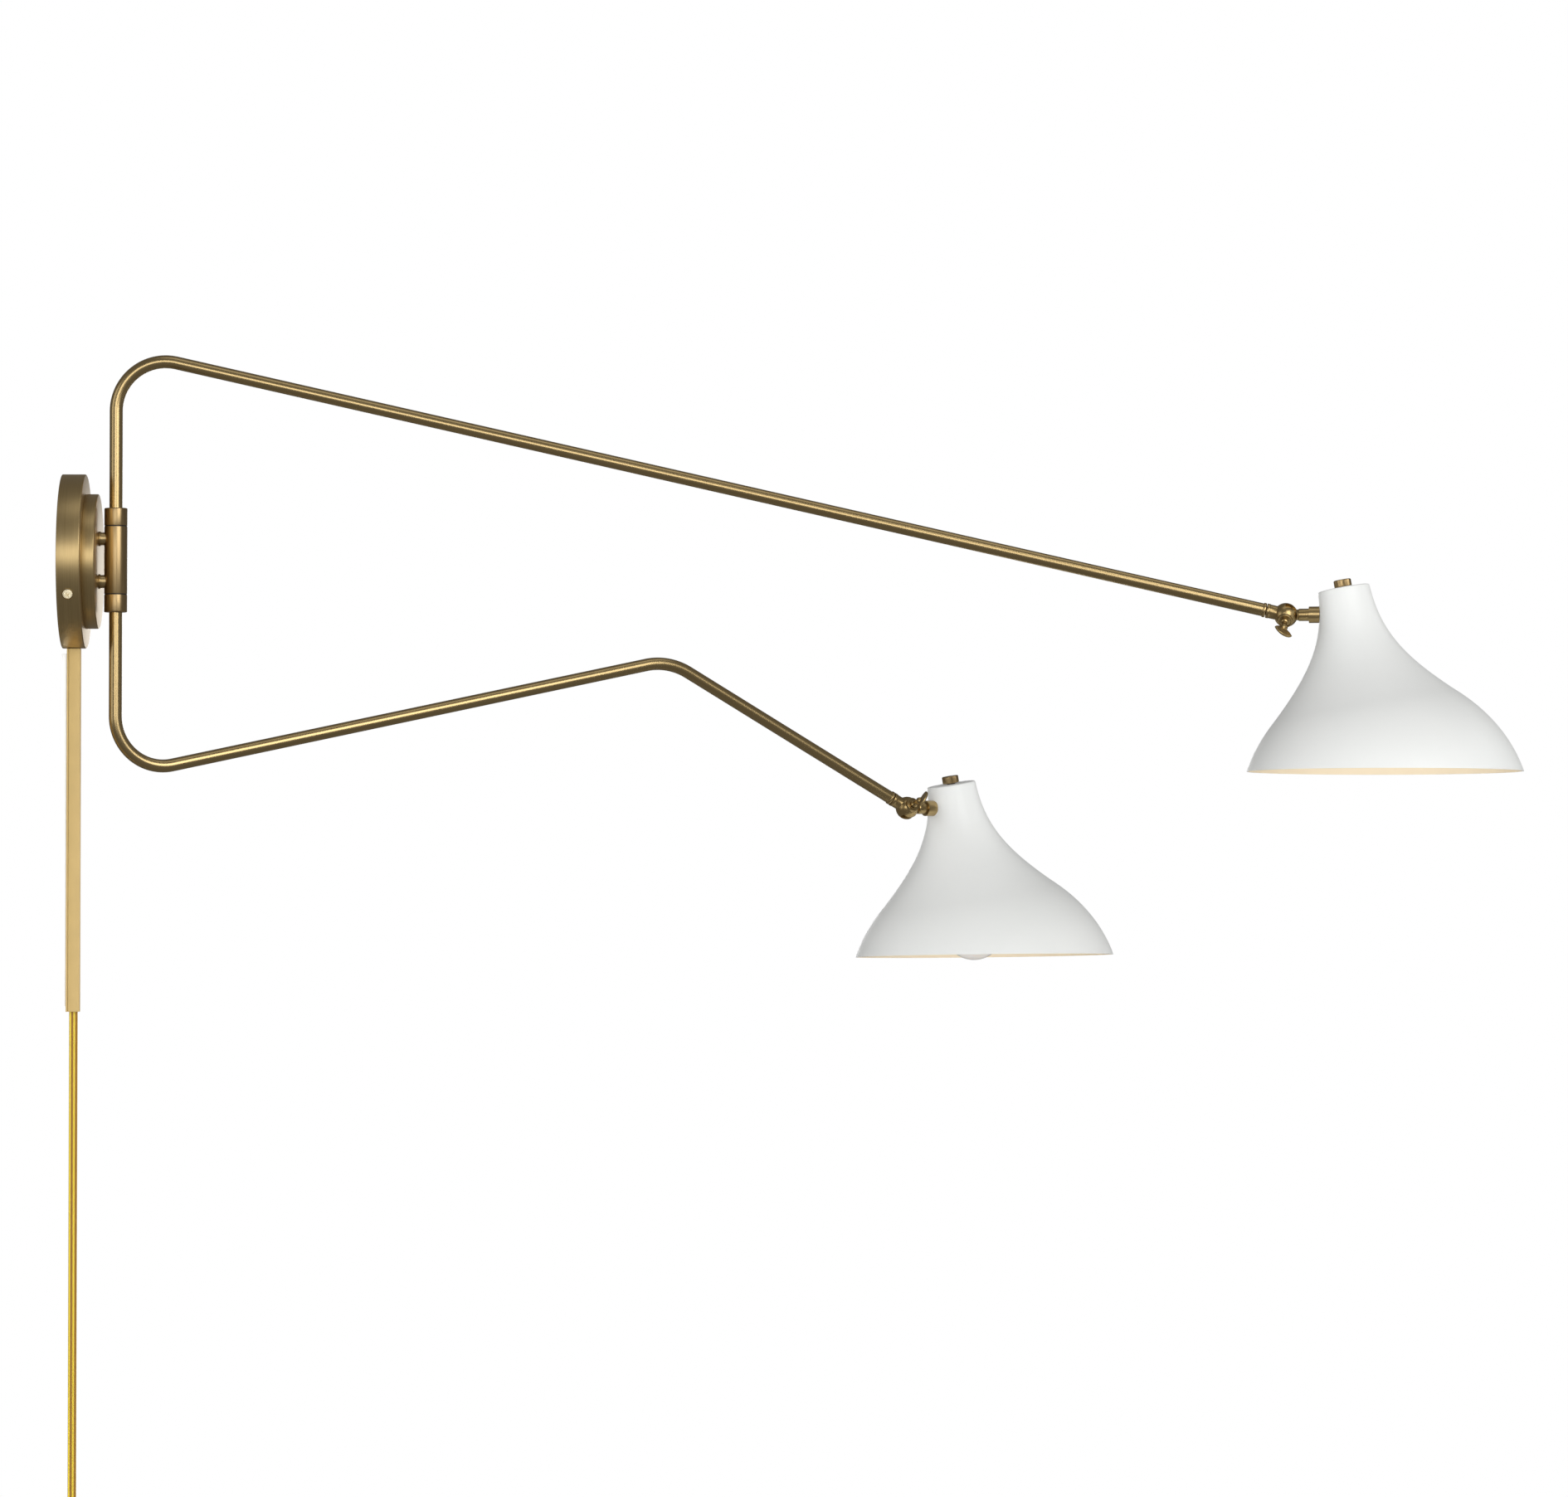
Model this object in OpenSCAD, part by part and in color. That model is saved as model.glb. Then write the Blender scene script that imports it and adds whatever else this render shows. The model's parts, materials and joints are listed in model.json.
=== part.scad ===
// Wall sconce with two swing arms, two spun shades, a cord cover and a plug-in cord.
// Origin: centre of the canopy's back, on the wall. +X out of the wall, +Z up.

/* [Canopy] */
// Diameter of the outer disc
canopy_d = 127; // [115:1:140]
// Depth of the outer disc, from the wall
canopy_h = 17.1; // [14:0.1:24]
// Diameter of the stepped inner disc
step_d = 98.2; // [80:0.1:105]
// Depth of the stepped inner disc
step_h = 9.2; // [6:0.1:14]
// Thickness of the spun brass discs
sheet = 1.2; // [1:0.1:1.6]
// Angle of the side screws below the horizontal
side_screw_deg = 24.9; // [10:0.1:40]

/* [Hub] */
// Distance of the swing axis from the wall
hub_x = 38.4; // [37:0.1:44]
// Height of the hub's middle above the canopy's centre
hub_z = 1; // [0:0.1:3]
// Diameter of the hub and of the arms' collars
hub_d = 16.8; // [16.4:0.1:18]
// Length of the hub between its two washers
hub_len = 49.2; // [46:0.1:54]
// Height of one arm collar
collar_h = 12.8; // [8:0.1:18]
// Distance between the two standoffs
standoff_gap = 31.2; // [28:0.1:34]

/* [Arms] */
// Outside diameter of the arm tube
tube_d = 9.525; // [9.5:0.005:9.55]
// Bend radius next to the hub
bend_r = 36; // [30:1:44]
// Upper arm: height of its bend's centre above the hub's middle
upper_rise = 109; // [90:1:130]
// Upper arm: fall of the long run, in degrees
upper_fall = 12.9; // [10:0.1:16]
// Upper arm: long run, from the bend to the knuckle's centre
upper_run = 828.5; // [700:0.5:850]
// Upper arm: swing in the stored pose, away from straight out
upper_swing = -3; // [-10:1:10]
// Lower arm: depth of its bend's centre below the hub's middle
lower_drop = 113.7; // [100:0.1:130]
// Lower arm: climb of its first run, in degrees
lower_climb = 12; // [8:0.1:16]
// Lower arm: first run, from the bend to the elbow
lower_run = 383.5; // [300:0.5:400]
// Lower arm: bend radius of the elbow
elbow_r = 50; // [40:1:60]
// Lower arm: fall of its last run, in degrees
lower_fall = 29; // [20:0.1:35]
// Lower arm: last run, from the elbow to the knuckle's centre
lower_last = 209; // [180:0.5:230]
// Lower arm: swing in the stored pose, away from straight out
lower_swing = 22; // [10:1:30]

/* [Knuckles] */
// Diameter of the knuckle's ball
ball_d = 17.5; // [17:0.1:18.5]
// Upper knuckle: turn of its screw about the tube, downwards
upper_roll = 35; // [20:1:40]
// Lower knuckle: turn of its screw about the tube, downwards
lower_roll = -20; // [-30:1:-10]
// Upper thumbscrew: angle of its wing
upper_wing = -22; // [-60:1:60]
// Lower thumbscrew: angle of its wing
lower_wing = 85; // [60:1:90]
// Distance from the ball's centre to the shade's axis, along the stem
stem_reach = 42; // [41:0.1:46]
// Height of the shade's top plate centre above the stem
stem_below = 19.1; // [17:0.1:21]

/* [Shades] */
// Lean of the shade's axis
shade_lean = 10; // [8:0.5:12]
// Vertical depth of the shade, from its top plate's centre to the rim
shade_drop = 133; // [125:0.5:136]
// Thickness of the spun shade
shade_t = 1.2; // [1:0.1:1.5]
// Diameter of the switch knob
knob_d = 12.7; // [11:0.1:14]
// Height of the switch knob
knob_h = 5.5; // [4:0.1:7]
// Depth of the upper bulb's tip, along the shade's axis
upper_tip = 130; // [126:1:140]
// Depth of the lower bulb's tip, along the shade's axis
lower_tip = 138; // [126:1:140]
// Upper shade: turn about its stem
upper_clock = 0; // [-3:0.1:3]
// Lower shade: turn about its stem
lower_clock = -1.2; // [-3:0.1:3]

/* [Cord] */
// Width of the flat cord
cord_w = 6.2; // [5.8:0.1:6.6]
// Thickness of the flat cord
cord_t = 3.2; // [2.8:0.1:3.2]
// Distance of the cord's centre from the wall
cord_x = 8.7; // [8.6:0.1:8.8]
// Lower end of the cord cover
cover_end = -328; // [-400:1:-250]

/* [Hidden] */
$fn = 96;

BRASS = "#b08d57";
STEEL = "#b9bcbf";
WHITE = "#e9ebe8";
BLACK = "#2b2b2b";

tube_r = tube_d / 2;
tube_bore = tube_r - 0.9;
hub_r = hub_d / 2;
hub_bore = 7;
bush_len = 5;
washer_t = 0.4;
gap = 0.3;         // clearance between parts that turn on each other
fit = 0.05;        // radial clearance of a running fit
ball_r = ball_d / 2;
sleeve_len = 14.5; // from the ball's centre to the tube's end
slot_w = 4.6;      // slot in the ball, for the stem's tongue
tongue_w = 4;
screw_r = 2;
wing_at = 23;      // from the ball's centre to the wing's middle
wing_len = 14.5;
wing_h = 9;
wing_t = 1.7;
post_z = [hub_z - standoff_gap / 2, hub_z + standoff_gap / 2];
face_x = canopy_h + step_h;

// A lamp: swing, knuckle's radius and height from the hub, fall of the tube's end, roll, wing, clock,
// and the bulb's tip
elbow_deg = lower_climb + lower_fall;
upper_end = [bend_r + bend_r * sin(upper_fall) + upper_run * cos(upper_fall),
             hub_z + upper_rise + bend_r * cos(upper_fall) - upper_run * sin(upper_fall)];
climb_end = [bend_r + bend_r * sin(lower_climb) + lower_run * cos(lower_climb),
             hub_z - lower_drop - bend_r * cos(lower_climb) + lower_run * sin(lower_climb)];
elbow_c = climb_end + elbow_r * [sin(lower_climb), -cos(lower_climb)];
lower_end = elbow_c + elbow_r * [sin(lower_fall), cos(lower_fall)]
            + lower_last * [cos(lower_fall), -sin(lower_fall)];
UPPER = [upper_swing, upper_end[0], upper_end[1], upper_fall, upper_roll, upper_wing, upper_clock, upper_tip];
LOWER = [lower_swing, lower_end[0], lower_end[1], lower_fall, lower_roll, lower_wing, lower_clock, lower_tip];

// The stem is level: its turn about the screw, and how far it leaves the arm's plane
function stem_turn(lamp) = atan(tan(lamp[3]) / cos(lamp[4]));
function stem_side(lamp) = -asin(sin(lamp[4]) * sin(stem_turn(lamp)));

module at_hub(swing) { translate([hub_x, 0, 0]) rotate([0, 0, swing]) children(); }
module at_ball(lamp) { at_hub(lamp[0]) translate([lamp[1], 0, lamp[2]]) children(); }
// x along the tube's end, -y along the thumbscrew
module at_knuckle(lamp) { at_ball(lamp) rotate([0, lamp[3], 0]) rotate([lamp[4], 0, 0]) children(); }
// the same, turned about the thumbscrew until x lies along the stem
module at_tongue(lamp) { at_knuckle(lamp) rotate([0, -stem_turn(lamp), 0]) children(); }
// x along the stem, z up
module at_lamp(lamp) { at_ball(lamp) rotate([0, 0, stem_side(lamp)]) rotate([lamp[6], 0, 0]) children(); }
// the shade's own axis: origin at the top plate's centre, -z down the axis
module at_shade(lamp) {
    at_lamp(lamp) translate([stem_reach, 0, stem_below]) rotate([0, -shade_lean, 0]) children();
}

// ---------- shapes that repeat ----------
// A cylinder between two heights
module rod(r, z0, z1) { translate([0, 0, z0]) cylinder(r = r, h = z1 - z0); }
// A pipe between two heights
module pipe(r, bore, z0, z1) {
    difference() {
        rod(r, z0, z1);
        rod(bore, z0 - 1, z1 + 1);
    }
}
// A round tube swept along a route, solid where the bore is 0
SWEEP_REF = [0.12, 0.97, 0.21];   // no route runs along this direction
function tangent(route, i) =
    let (v = route[min(i + 1, len(route) - 1)] - route[max(i - 1, 0)]) v / norm(v);
function circle_at(route, i, r, sides) =
    let (h = tangent(route, i), u = cross(h, SWEEP_REF), a = u / norm(u), b = cross(h, a))
    [for (k = [0 : sides - 1]) route[i] + r * (a * cos(360 * k / sides) + b * sin(360 * k / sides))];
function skin(n, m, first) = [for (i = [0 : n - 2]) for (k = [0 : m - 1])
    first + [i * m + k, i * m + (k + 1) % m, (i + 1) * m + (k + 1) % m, (i + 1) * m + k]];
module swept(route, r, bore = 0, sides = 32) {
    n = len(route);
    outer = [for (i = [0 : n - 1]) each circle_at(route, i, r, sides)];
    far = (n - 1) * sides;
    if (bore == 0)
        polyhedron(outer, concat([for (f = skin(n, sides, [0, 0, 0, 0])) [f[3], f[2], f[1], f[0]]],
            [[for (k = [0 : sides - 1]) k]], [[for (k = [sides - 1 : -1 : 0]) far + k]]));
    else {
        inner = [for (i = [0 : n - 1]) each circle_at(route, i, bore, sides)];
        in0 = n * sides;
        ends = [for (e = [0, far]) for (k = [0 : sides - 1]) let (k1 = (k + 1) % sides)
            e == 0 ? [k, k1, in0 + k1, in0 + k] : [far + k1, far + k, in0 + far + k, in0 + far + k1]];
        polyhedron(concat(outer, inner), concat(
            [for (f = skin(n, sides, [0, 0, 0, 0])) [f[3], f[2], f[1], f[0]]],
            skin(n, sides, [in0, in0, in0, in0]), ends));
    }
}
// Points on an arc in the x-z plane, without its first one
function arc(c, radius, from, to, n) = [for (k = [1 : n])
    let (t = from + (to - from) * k / n) [c[0] + radius * cos(t), 0, c[1] + radius * sin(t)]];
// A flat pan head screw along -z, its head's seat at the origin
module pan_screw(head_r, head_h, r, len) {
    difference() {
        union() {
            cylinder(r = head_r, h = head_h * 0.6);
            translate([0, 0, head_h * 0.6]) cylinder(r1 = head_r, r2 = head_r * 0.7, h = head_h * 0.4);
            translate([0, 0, -len]) cylinder(r = r, h = len);
        }
        for (a = [0, 90]) rotate([0, 0, a])
            translate([-head_r * 0.5, -0.4, head_h * 0.45]) cube([head_r, 0.8, head_h]);
    }
}
module hex_nut(across, h, bore) {
    difference() {
        cylinder(d = across / cos(30), h = h, $fn = 6);
        translate([0, 0, -1]) cylinder(r = bore, h = h + 2);
    }
}

// ---------- wall side ----------
plate_r = 54;
plate_t = 2;
slot_gap = 80;
slot_len = 20;
slot_hole_r = 2.5;
tab_r = canopy_d / 2 - sheet - 0.6;

module to_side_screw(side) { rotate([side * 180 + side_screw_deg, 0, 0]) rotate([90, 0, 0]) children(); }

module mounting_plate() {
    tab_t = plate_t - 0.4;
    color(STEEL) difference() {
        union() {
            rotate([0, 90, 0]) cylinder(r = plate_r, h = plate_t);
            for (side = [0, 1]) to_side_screw(side) {
                translate([0.2, -8, plate_r - 5]) cube([tab_t, 16, tab_r - plate_r + 5]);
                translate([0.2, -8, tab_r - tab_t]) cube([12.8, 16, tab_t]);
            }
        }
        for (s = [-1, 1]) {
            for (e = [-1, 1])
                translate([-1, 0, s * slot_gap / 2 + e * (slot_len / 2 - slot_hole_r)])
                    rotate([0, 90, 0]) cylinder(r = slot_hole_r, h = plate_t + 2);
            translate([-1, -slot_hole_r, s * slot_gap / 2 - slot_len / 2 + slot_hole_r])
                cube([plate_t + 2, 2 * slot_hole_r, slot_len - 2 * slot_hole_r]);
        }
        translate([-1, 0, 0]) rotate([0, 90, 0]) cylinder(r = 12, h = plate_t + 2);
        translate([-1, 30, -20]) rotate([0, 90, 0]) cylinder(r = 2, h = plate_t + 2);
        for (side = [0, 1]) to_side_screw(side)
            translate([8.2, 0, tab_r - 5]) cylinder(r = 1.8, h = 10);
    }
}
module side_screws() {
    color(BRASS) for (side = [0, 1]) to_side_screw(side)
        translate([8.2, 0, canopy_d / 2]) pan_screw(3.5, 1.5, 1.75, 6);
}
module ground_screw() {
    color("green") translate([plate_t, 30, -20]) rotate([0, 90, 0]) pan_screw(3.6, 2.4, 1.95, plate_t);
}
// A spun disc, open towards the wall
module spun_cup(d, h) {
    rotate([0, 90, 0]) rotate_extrude($fn = 180) difference() {
        union() {
            square([d / 2, h - 0.8]);
            square([d / 2 - 0.8, h]);
            translate([d / 2 - 0.8, h - 0.8]) circle(0.8, $fn = 32);
        }
        translate([-1, -1]) square([d / 2 - sheet + 1, h - sheet + 1]);
    }
}
module canopy() {
    color(BRASS) difference() {
        spun_cup(canopy_d, canopy_h);
        for (z = post_z) translate([0, 0, z]) rotate([0, 90, 0]) cylinder(r = 3.6, h = 30);
        for (side = [0, 1]) to_side_screw(side)
            translate([8.2, 0, tab_r]) cylinder(r = 1.9, h = 10);
        translate([cord_x - 3.75, -2.65, -canopy_d / 2 - 1]) cube([7.5, 5.3, 8]);
    }
}
module canopy_step() {
    color(BRASS) difference() {
        translate([canopy_h, 0, 0]) spun_cup(step_d, step_h);
        for (z = post_z) translate([0, 0, z]) rotate([0, 90, 0]) cylinder(r = 3.6, h = 30);
    }
}
module standoffs() {
    color(BRASS) for (z = post_z) difference() {
        translate([0, 0, z]) rotate([0, 90, 0]) {
            rod(3.5, 11.5, face_x);
            rod(5.4, face_x, face_x + 1.2);
            rod(4.8, face_x, hub_x);
        }
        translate([0, 0, z]) rotate([0, 90, 0]) cylinder(r = 2.3, h = 60);
        translate([hub_x, 0, z - 10]) cylinder(r = hub_r, h = 20);
    }
}
module standoff_nuts() {
    color(STEEL) for (z = post_z) translate([canopy_h - sheet - 3, 0, z]) rotate([0, 90, 0])
        hex_nut(11, 3, 3.5);
}
module hub() {
    color(BRASS) difference() {
        translate([hub_x, 0, hub_z]) pipe(hub_r, hub_bore, -hub_len / 2, hub_len / 2);
        for (z = post_z) translate([hub_x - 12, 0, z]) rotate([0, 90, 0]) cylinder(r = 2.3, h = 9);
    }
}
module hub_bushes() {
    color(WHITE) translate([hub_x, 0, hub_z]) for (m = [0, 1]) mirror([0, 0, m])
        pipe(hub_bore, tube_r + fit, hub_len / 2 - bush_len, hub_len / 2);
}
module hub_washers() {
    color(BLACK) translate([hub_x, 0, hub_z]) for (m = [0, 1]) mirror([0, 0, m])
        pipe(hub_r - 0.3, tube_r + fit, hub_len / 2, hub_len / 2 + washer_t);
}
// Flat section with round edges, wide along x
module flat_2d(w, t) {
    for (s = [-1, 1]) translate([s * (w - t) / 2, 0]) circle(t / 2, $fn = 32);
    square([w - t, t], center = true);
}
relief_top = -55;
relief_end = -86;
module strain_relief() {
    color(BLACK) translate([cord_x, 0, 0]) difference() {
        union() {
            translate([0, 0, -61.6]) linear_extrude(61.6 + relief_top) flat_2d(10, 8);
            translate([0, 0, -70]) linear_extrude(9) flat_2d(7.4, 5);
            translate([0, 0, relief_end]) linear_extrude(-70 - relief_end) flat_2d(7.2, 4.4);
        }
        translate([0, 0, relief_end - 1]) linear_extrude(40) flat_2d(cord_w + 0.4, cord_t + 0.4);
    }
}
module wire_nuts() {
    color("#c8702a") for (s = [-1, 1]) translate([8.5, s * 18, -40]) difference() {
        cylinder(r1 = 5, r2 = 3.2, h = 17);
        translate([0, 0, -1]) cylinder(r = 2.8, h = 9);
    }
}
module canopy_wires() {
    color(BLACK) for (s = [-1, 1]) {
        nut = [8.5, s * 18, -34];
        swept([[cord_x, s * 1.5, relief_top + 0.5], [cord_x, s * 4, -48], nut + [0, -s * 1.6, -9],
              nut + [0, -s * 1.6, 0]], 0.8, 0, 8);
        swept([nut + [0.9, s * 0.9, 0], nut + [0.9, s * 1.2, -9], nut + [1.2, s * 5, -13], [10, s * 27, -34],
              [10, s * 25, -20], [9, s * 12, -13], [9.5, s * 1.2, post_z[0]],
              [hub_x - 4.5, s * 1.2, post_z[0]]], 0.8, 0, 8);
        swept([nut + [-1.2, s * 0.9, 0], nut + [-1.2, s * 1, -9], nut + [-1, s * 5, -14.5], [11, s * 32, -26],
              [10, s * 14, 8], [9.5, s * 1.2, post_z[1]], [hub_x - 4.5, s * 1.2, post_z[1]]], 0.8, 0, 8);
    }
}

// ---------- cord, its cover and its plug ----------
cover_x0 = 3.5;
cover_x1 = 13.2;
cover_w = 12;
cover_top = -canopy_d / 2;
// The cord's route beside the wall, as (y, z)
CORD = [[0, -57], [0, -100], [0, -145], [0, -190], [0, -235], [0, -280], [0, -325], [0, -370],
        [0, -415], [0, -460], [0, -505], [0, -550], [0, -595], [0, -640], [0, -680], [0, -692],
        [1, -699.8], [4, -707], [8.8, -713.2], [13, -716.7], [17, -719]];
coil_z = -755.2;
coil_r = 40;       // outermost turn
coil_pitch = 3.4;  // between one turn and the next inside it
coil_turns = 5.18;
coil_step = 6.5;   // between the two layers of turns
coil_in = coil_r - coil_pitch * coil_turns / 2;

module cord_cover() {
    h = cover_top - cover_end;
    color("#c9a96a") translate([0, 0, cover_end]) linear_extrude(h) difference() {
        translate([cover_x0, -cover_w / 2]) square([cover_x1 - cover_x0, cover_w]);
        translate([cover_x0 + 1, 1 - cover_w / 2]) square([cover_x1 - cover_x0 - 1.8, cover_w - 2]);
    }
}
module cover_tape() {
    color(WHITE) translate([0, -4.5, cover_end + 4]) cube([cover_x0, 9, cover_top - cover_end - 8]);
}
// The route, with three rings to each of its long steps
function finer(route) = [for (i = [0 : len(route) - 2])
    let (n = norm(route[i + 1] - route[i]) > 20 ? 3 : 1)
    for (k = [0 : n - 1]) route[i] + (route[i + 1] - route[i]) * k / n, route[len(route) - 1]];
function heading(route, i) =
    let (v = route[min(i + 1, len(route) - 1)] - route[max(i - 1, 0)]) v / norm(v);
// A flat tube of eight sides along a route
module flat_tube(route, x, w, t) {
    edge = [[1, -0.4], [1, 0.4], [0.65, 1], [-0.65, 1], [-1, 0.4], [-1, -0.4], [-0.65, -1], [0.65, -1]];
    n = len(route);
    m = len(edge);
    points = [for (i = [0 : n - 1]) let (h = heading(route, i)) for (e = edge)
        [x + e[0] * w / 2, route[i][0] + e[1] * t / 2 * h[1], route[i][1] - e[1] * t / 2 * h[0]]];
    sides = [for (i = [0 : n - 2]) for (k = [0 : m - 1])
        [i * m + k, i * m + (k + 1) % m, (i + 1) * m + (k + 1) % m, (i + 1) * m + k]];
    polyhedron(points, concat([[for (k = [m - 1 : -1 : 0]) k]], sides,
                              [[for (k = [0 : m - 1]) (n - 1) * m + k]]));
}
module cord() { color("#d9b93a") flat_tube(finer(CORD), cord_x, cord_w, cord_t); }
module cord_coil() {
    color("#d9b93a") translate([cord_x - cord_w / 2, 0, coil_z]) rotate([0, 90, 0]) rotate_extrude()
        translate([coil_in - cord_t / 2, 0]) square([coil_r - coil_in + cord_t, cord_w + coil_step]);
}
tail_len = 30;
module cord_tail() {
    color("#d9b93a") translate([cord_x + coil_step, coil_r, coil_z - tail_len])
        linear_extrude(tail_len) flat_2d(cord_w, cord_t);
}
tie_deg = 40;
module coil_tie() {
    wide = cord_w + coil_step + 0.8;
    deep = coil_r - coil_in + cord_t + 0.9;
    color(BLACK) translate([cord_x + coil_step / 2, 0, coil_z]) rotate([tie_deg, 0, 0])
        translate([0, (coil_r + coil_in) / 2, 0]) difference() {
            cube([wide + 2, deep + 2, 5], center = true);
            cube([wide, deep, 7], center = true);
        }
}
plug_w = 24;
plug_t = 13;
plug_len = 30;
module at_plug() { translate([cord_x + coil_step, coil_r, coil_z - tail_len]) children(); }
module plug_body() {
    color("#b98f2e") at_plug() {
        translate([0, 0, -8]) linear_extrude(8) flat_2d(11, 7);
        translate([0, 0, -plug_len]) linear_extrude(plug_len - 8) flat_2d(plug_w, plug_t);
    }
}
module plug_blades() {
    color(BRASS) at_plug() for (s = [-1, 1])
        translate([s * 6.35 - 0.75, -3.2, -plug_len - 16]) cube([1.5, 6.4, 16]);
}

// ---------- arms ----------
inside_end = hub_len / 2 - bush_len - 2.6;   // the journal's end, from the hub's middle
BEND_STEPS = 14;
function upper_route(from, short) = let (c = [bend_r, hub_z + upper_rise], d = upper_run - short)
    concat([[0, 0, from], [0, 0, c[1]]], arc(c, bend_r, 180, 90 - upper_fall, BEND_STEPS),
           [[upper_end[0] - short * cos(upper_fall), 0, upper_end[1] + short * sin(upper_fall)]]);
function lower_route(from, short) = let (c = [bend_r, hub_z - lower_drop])
    concat([[0, 0, from], [0, 0, c[1]]], arc(c, bend_r, 180, 270 + lower_climb, BEND_STEPS),
           [[climb_end[0], 0, climb_end[1]]],
           arc(elbow_c, elbow_r, 90 + lower_climb, 90 - lower_fall, BEND_STEPS / 2),
           [[lower_end[0] - short * cos(lower_fall), 0, lower_end[1] + short * sin(lower_fall)]]);
tube_from = hub_len / 2 + washer_t + 2;   // the tube's end in its collar, from the hub's middle
module upper_arm_tube() {
    color(BRASS) at_hub(upper_swing)
        swept(upper_route(hub_z + tube_from, fitting_at + fitting_flange), tube_r, tube_bore);
}
module lower_arm_tube() {
    color(BRASS) at_hub(lower_swing)
        swept(lower_route(hub_z - tube_from, fitting_at + fitting_flange), tube_r, tube_bore);
}
wires_from = inside_end - 4;   // a pair of wires in one sleeve, down in the hub
module upper_arm_wires() {
    color(BLACK) at_hub(upper_swing) swept(upper_route(hub_z + wires_from, fitting_at + 14), 1.7, 0, 8);
}
module lower_arm_wires() {
    color(BLACK) at_hub(lower_swing) swept(lower_route(hub_z - wires_from, fitting_at + 14), 1.7, 0, 8);
}
// Collar with the hollow journal that turns in the hub's bush; the tube is brazed into it
module collar(side) {
    z0 = hub_len / 2 + washer_t + 0.2;
    translate([0, 0, hub_z]) mirror([0, 0, side]) difference() {
        union() {
            rod(hub_r, z0, z0 + collar_h - 0.6);
            rod(hub_r - 0.6, z0, z0 + collar_h);
            rod(tube_r, inside_end, z0 + 1);
        }
        rod(tube_bore - 0.8, inside_end - 1, z0 + 5);
        rod(tube_r + 0.03, tube_from, z0 + collar_h + 1);
    }
}
// The nut on the journal's end
module retainer(side) {
    translate([0, 0, hub_z]) mirror([0, 0, side])
        pipe(hub_bore - 0.6, tube_r, inside_end, inside_end + 2.3);
}
// Turned fitting in the tube's end: a flange and a sleeve that the knuckle's spigot turns in
fitting_at = sleeve_len + gap;   // from the ball's centre
fitting_flange = 2.4;
fitting_r = tube_bore - 0.08;
spigot_r = fitting_r - 0.75;
module end_fitting(lamp) {
    at_ball(lamp) rotate([0, lamp[3], 0]) rotate([0, -90, 0]) difference() {
        union() {
            rod(tube_r + 0.6, fitting_at, fitting_at + fitting_flange);
            rod(fitting_r, fitting_at, fitting_at + 13);
        }
        rod(spigot_r + fit, fitting_at - 1, fitting_at + 14);
    }
}
module upper_collar() { color(BRASS) at_hub(upper_swing) collar(0); }
module lower_collar() { color(BRASS) at_hub(lower_swing) collar(1); }
module upper_retainer() { color(STEEL) at_hub(upper_swing) retainer(0); }
module lower_retainer() { color(STEEL) at_hub(lower_swing) retainer(1); }
module upper_end_fitting() { color(BRASS) end_fitting(UPPER); }
module lower_end_fitting() { color(BRASS) end_fitting(LOWER); }

// ---------- knuckle, thumbscrew and stem ----------
// The ball with its sleeve and a spigot that turns inside the tube's end
module knuckle(lamp) {
    at_knuckle(lamp) difference() {
        union() {
            sphere(ball_r);
            rotate([0, -90, 0]) rod(tube_r + 0.3, 0, sleeve_len);
            rotate([0, -90, 0]) rod(spigot_r, sleeve_len, sleeve_len + 11);
            rotate([90, 0, 0]) rod(5.4, 0, ball_r + 0.4);
        }
        rotate([90, 0, 0]) cylinder(r = 7.2, h = slot_w, center = true);
        translate([-2, -slot_w / 2, -10]) cube([20, slot_w, 20]);
        rotate([90, 0, 0]) cylinder(r = screw_r + fit, h = 30, center = true);
        rotate([90, 0, 0]) difference() {
            rod(4.5, ball_r - 0.2, ball_r + 1);
            rod(3.6, ball_r - 1, ball_r + 1);
        }
        rotate([0, -90, 0]) rod(1.8, 5, sleeve_len + 12);
    }
}
module thumbscrew(lamp) {
    lens_r = (wing_len * wing_len + wing_h * wing_h) / (4 * wing_h);
    seat = ball_r + 0.4 + gap;
    at_knuckle(lamp) rotate([90, 0, 0]) {
        rod(screw_r, -ball_r + 1.5, wing_at - 2);
        rod(2.8, seat, seat + 1.2);
        translate([0, 0, seat + 5]) cylinder(r1 = screw_r, r2 = 2.8, h = 3.4);
        rotate([0, 0, lamp[5]]) translate([0, wing_t / 2, wing_at]) rotate([90, 0, 0])
            linear_extrude(wing_t) intersection_for(s = [-1, 1])
                translate([0, s * (lens_r - wing_h / 2)]) circle(lens_r);
    }
}
// The tongue in the ball's slot, and the round stem
module stem(lamp) {
    at_tongue(lamp) difference() {
        union() {
            rotate([90, 0, 0]) cylinder(r = 6.4, h = tongue_w, center = true);
            translate([0, -tongue_w / 2, -3.4]) cube([stem_start + 0.5, tongue_w, 6.8]);
            rotate([0, 90, 0]) rod(4.5, stem_start, stem_end);
            rotate([0, 90, 0]) rod(3.9, stem_end - 1, nipple_end);
        }
        rotate([90, 0, 0]) cylinder(r = screw_r + 0.3, h = 10, center = true);
        rotate([0, 90, 0]) rod(1.9, stem_start + 3, nipple_end + 1);
    }
}
stem_start = ball_r + 0.5;
stem_end = 17;
nipple_end = 32.2;
module stem_collar(lamp) {
    difference() {
        at_lamp(lamp) rotate([0, 90, 0]) pipe(6, 3.9, stem_end, 25);
        at_shade(lamp) shade_solid(outline(0));
    }
}
module stem_nut(lamp) {
    at_lamp(lamp) translate([strap_x + strap_t, 0, 0]) rotate([0, 90, 0]) hex_nut(11.5, 3.2, 3.9);
}

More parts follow.
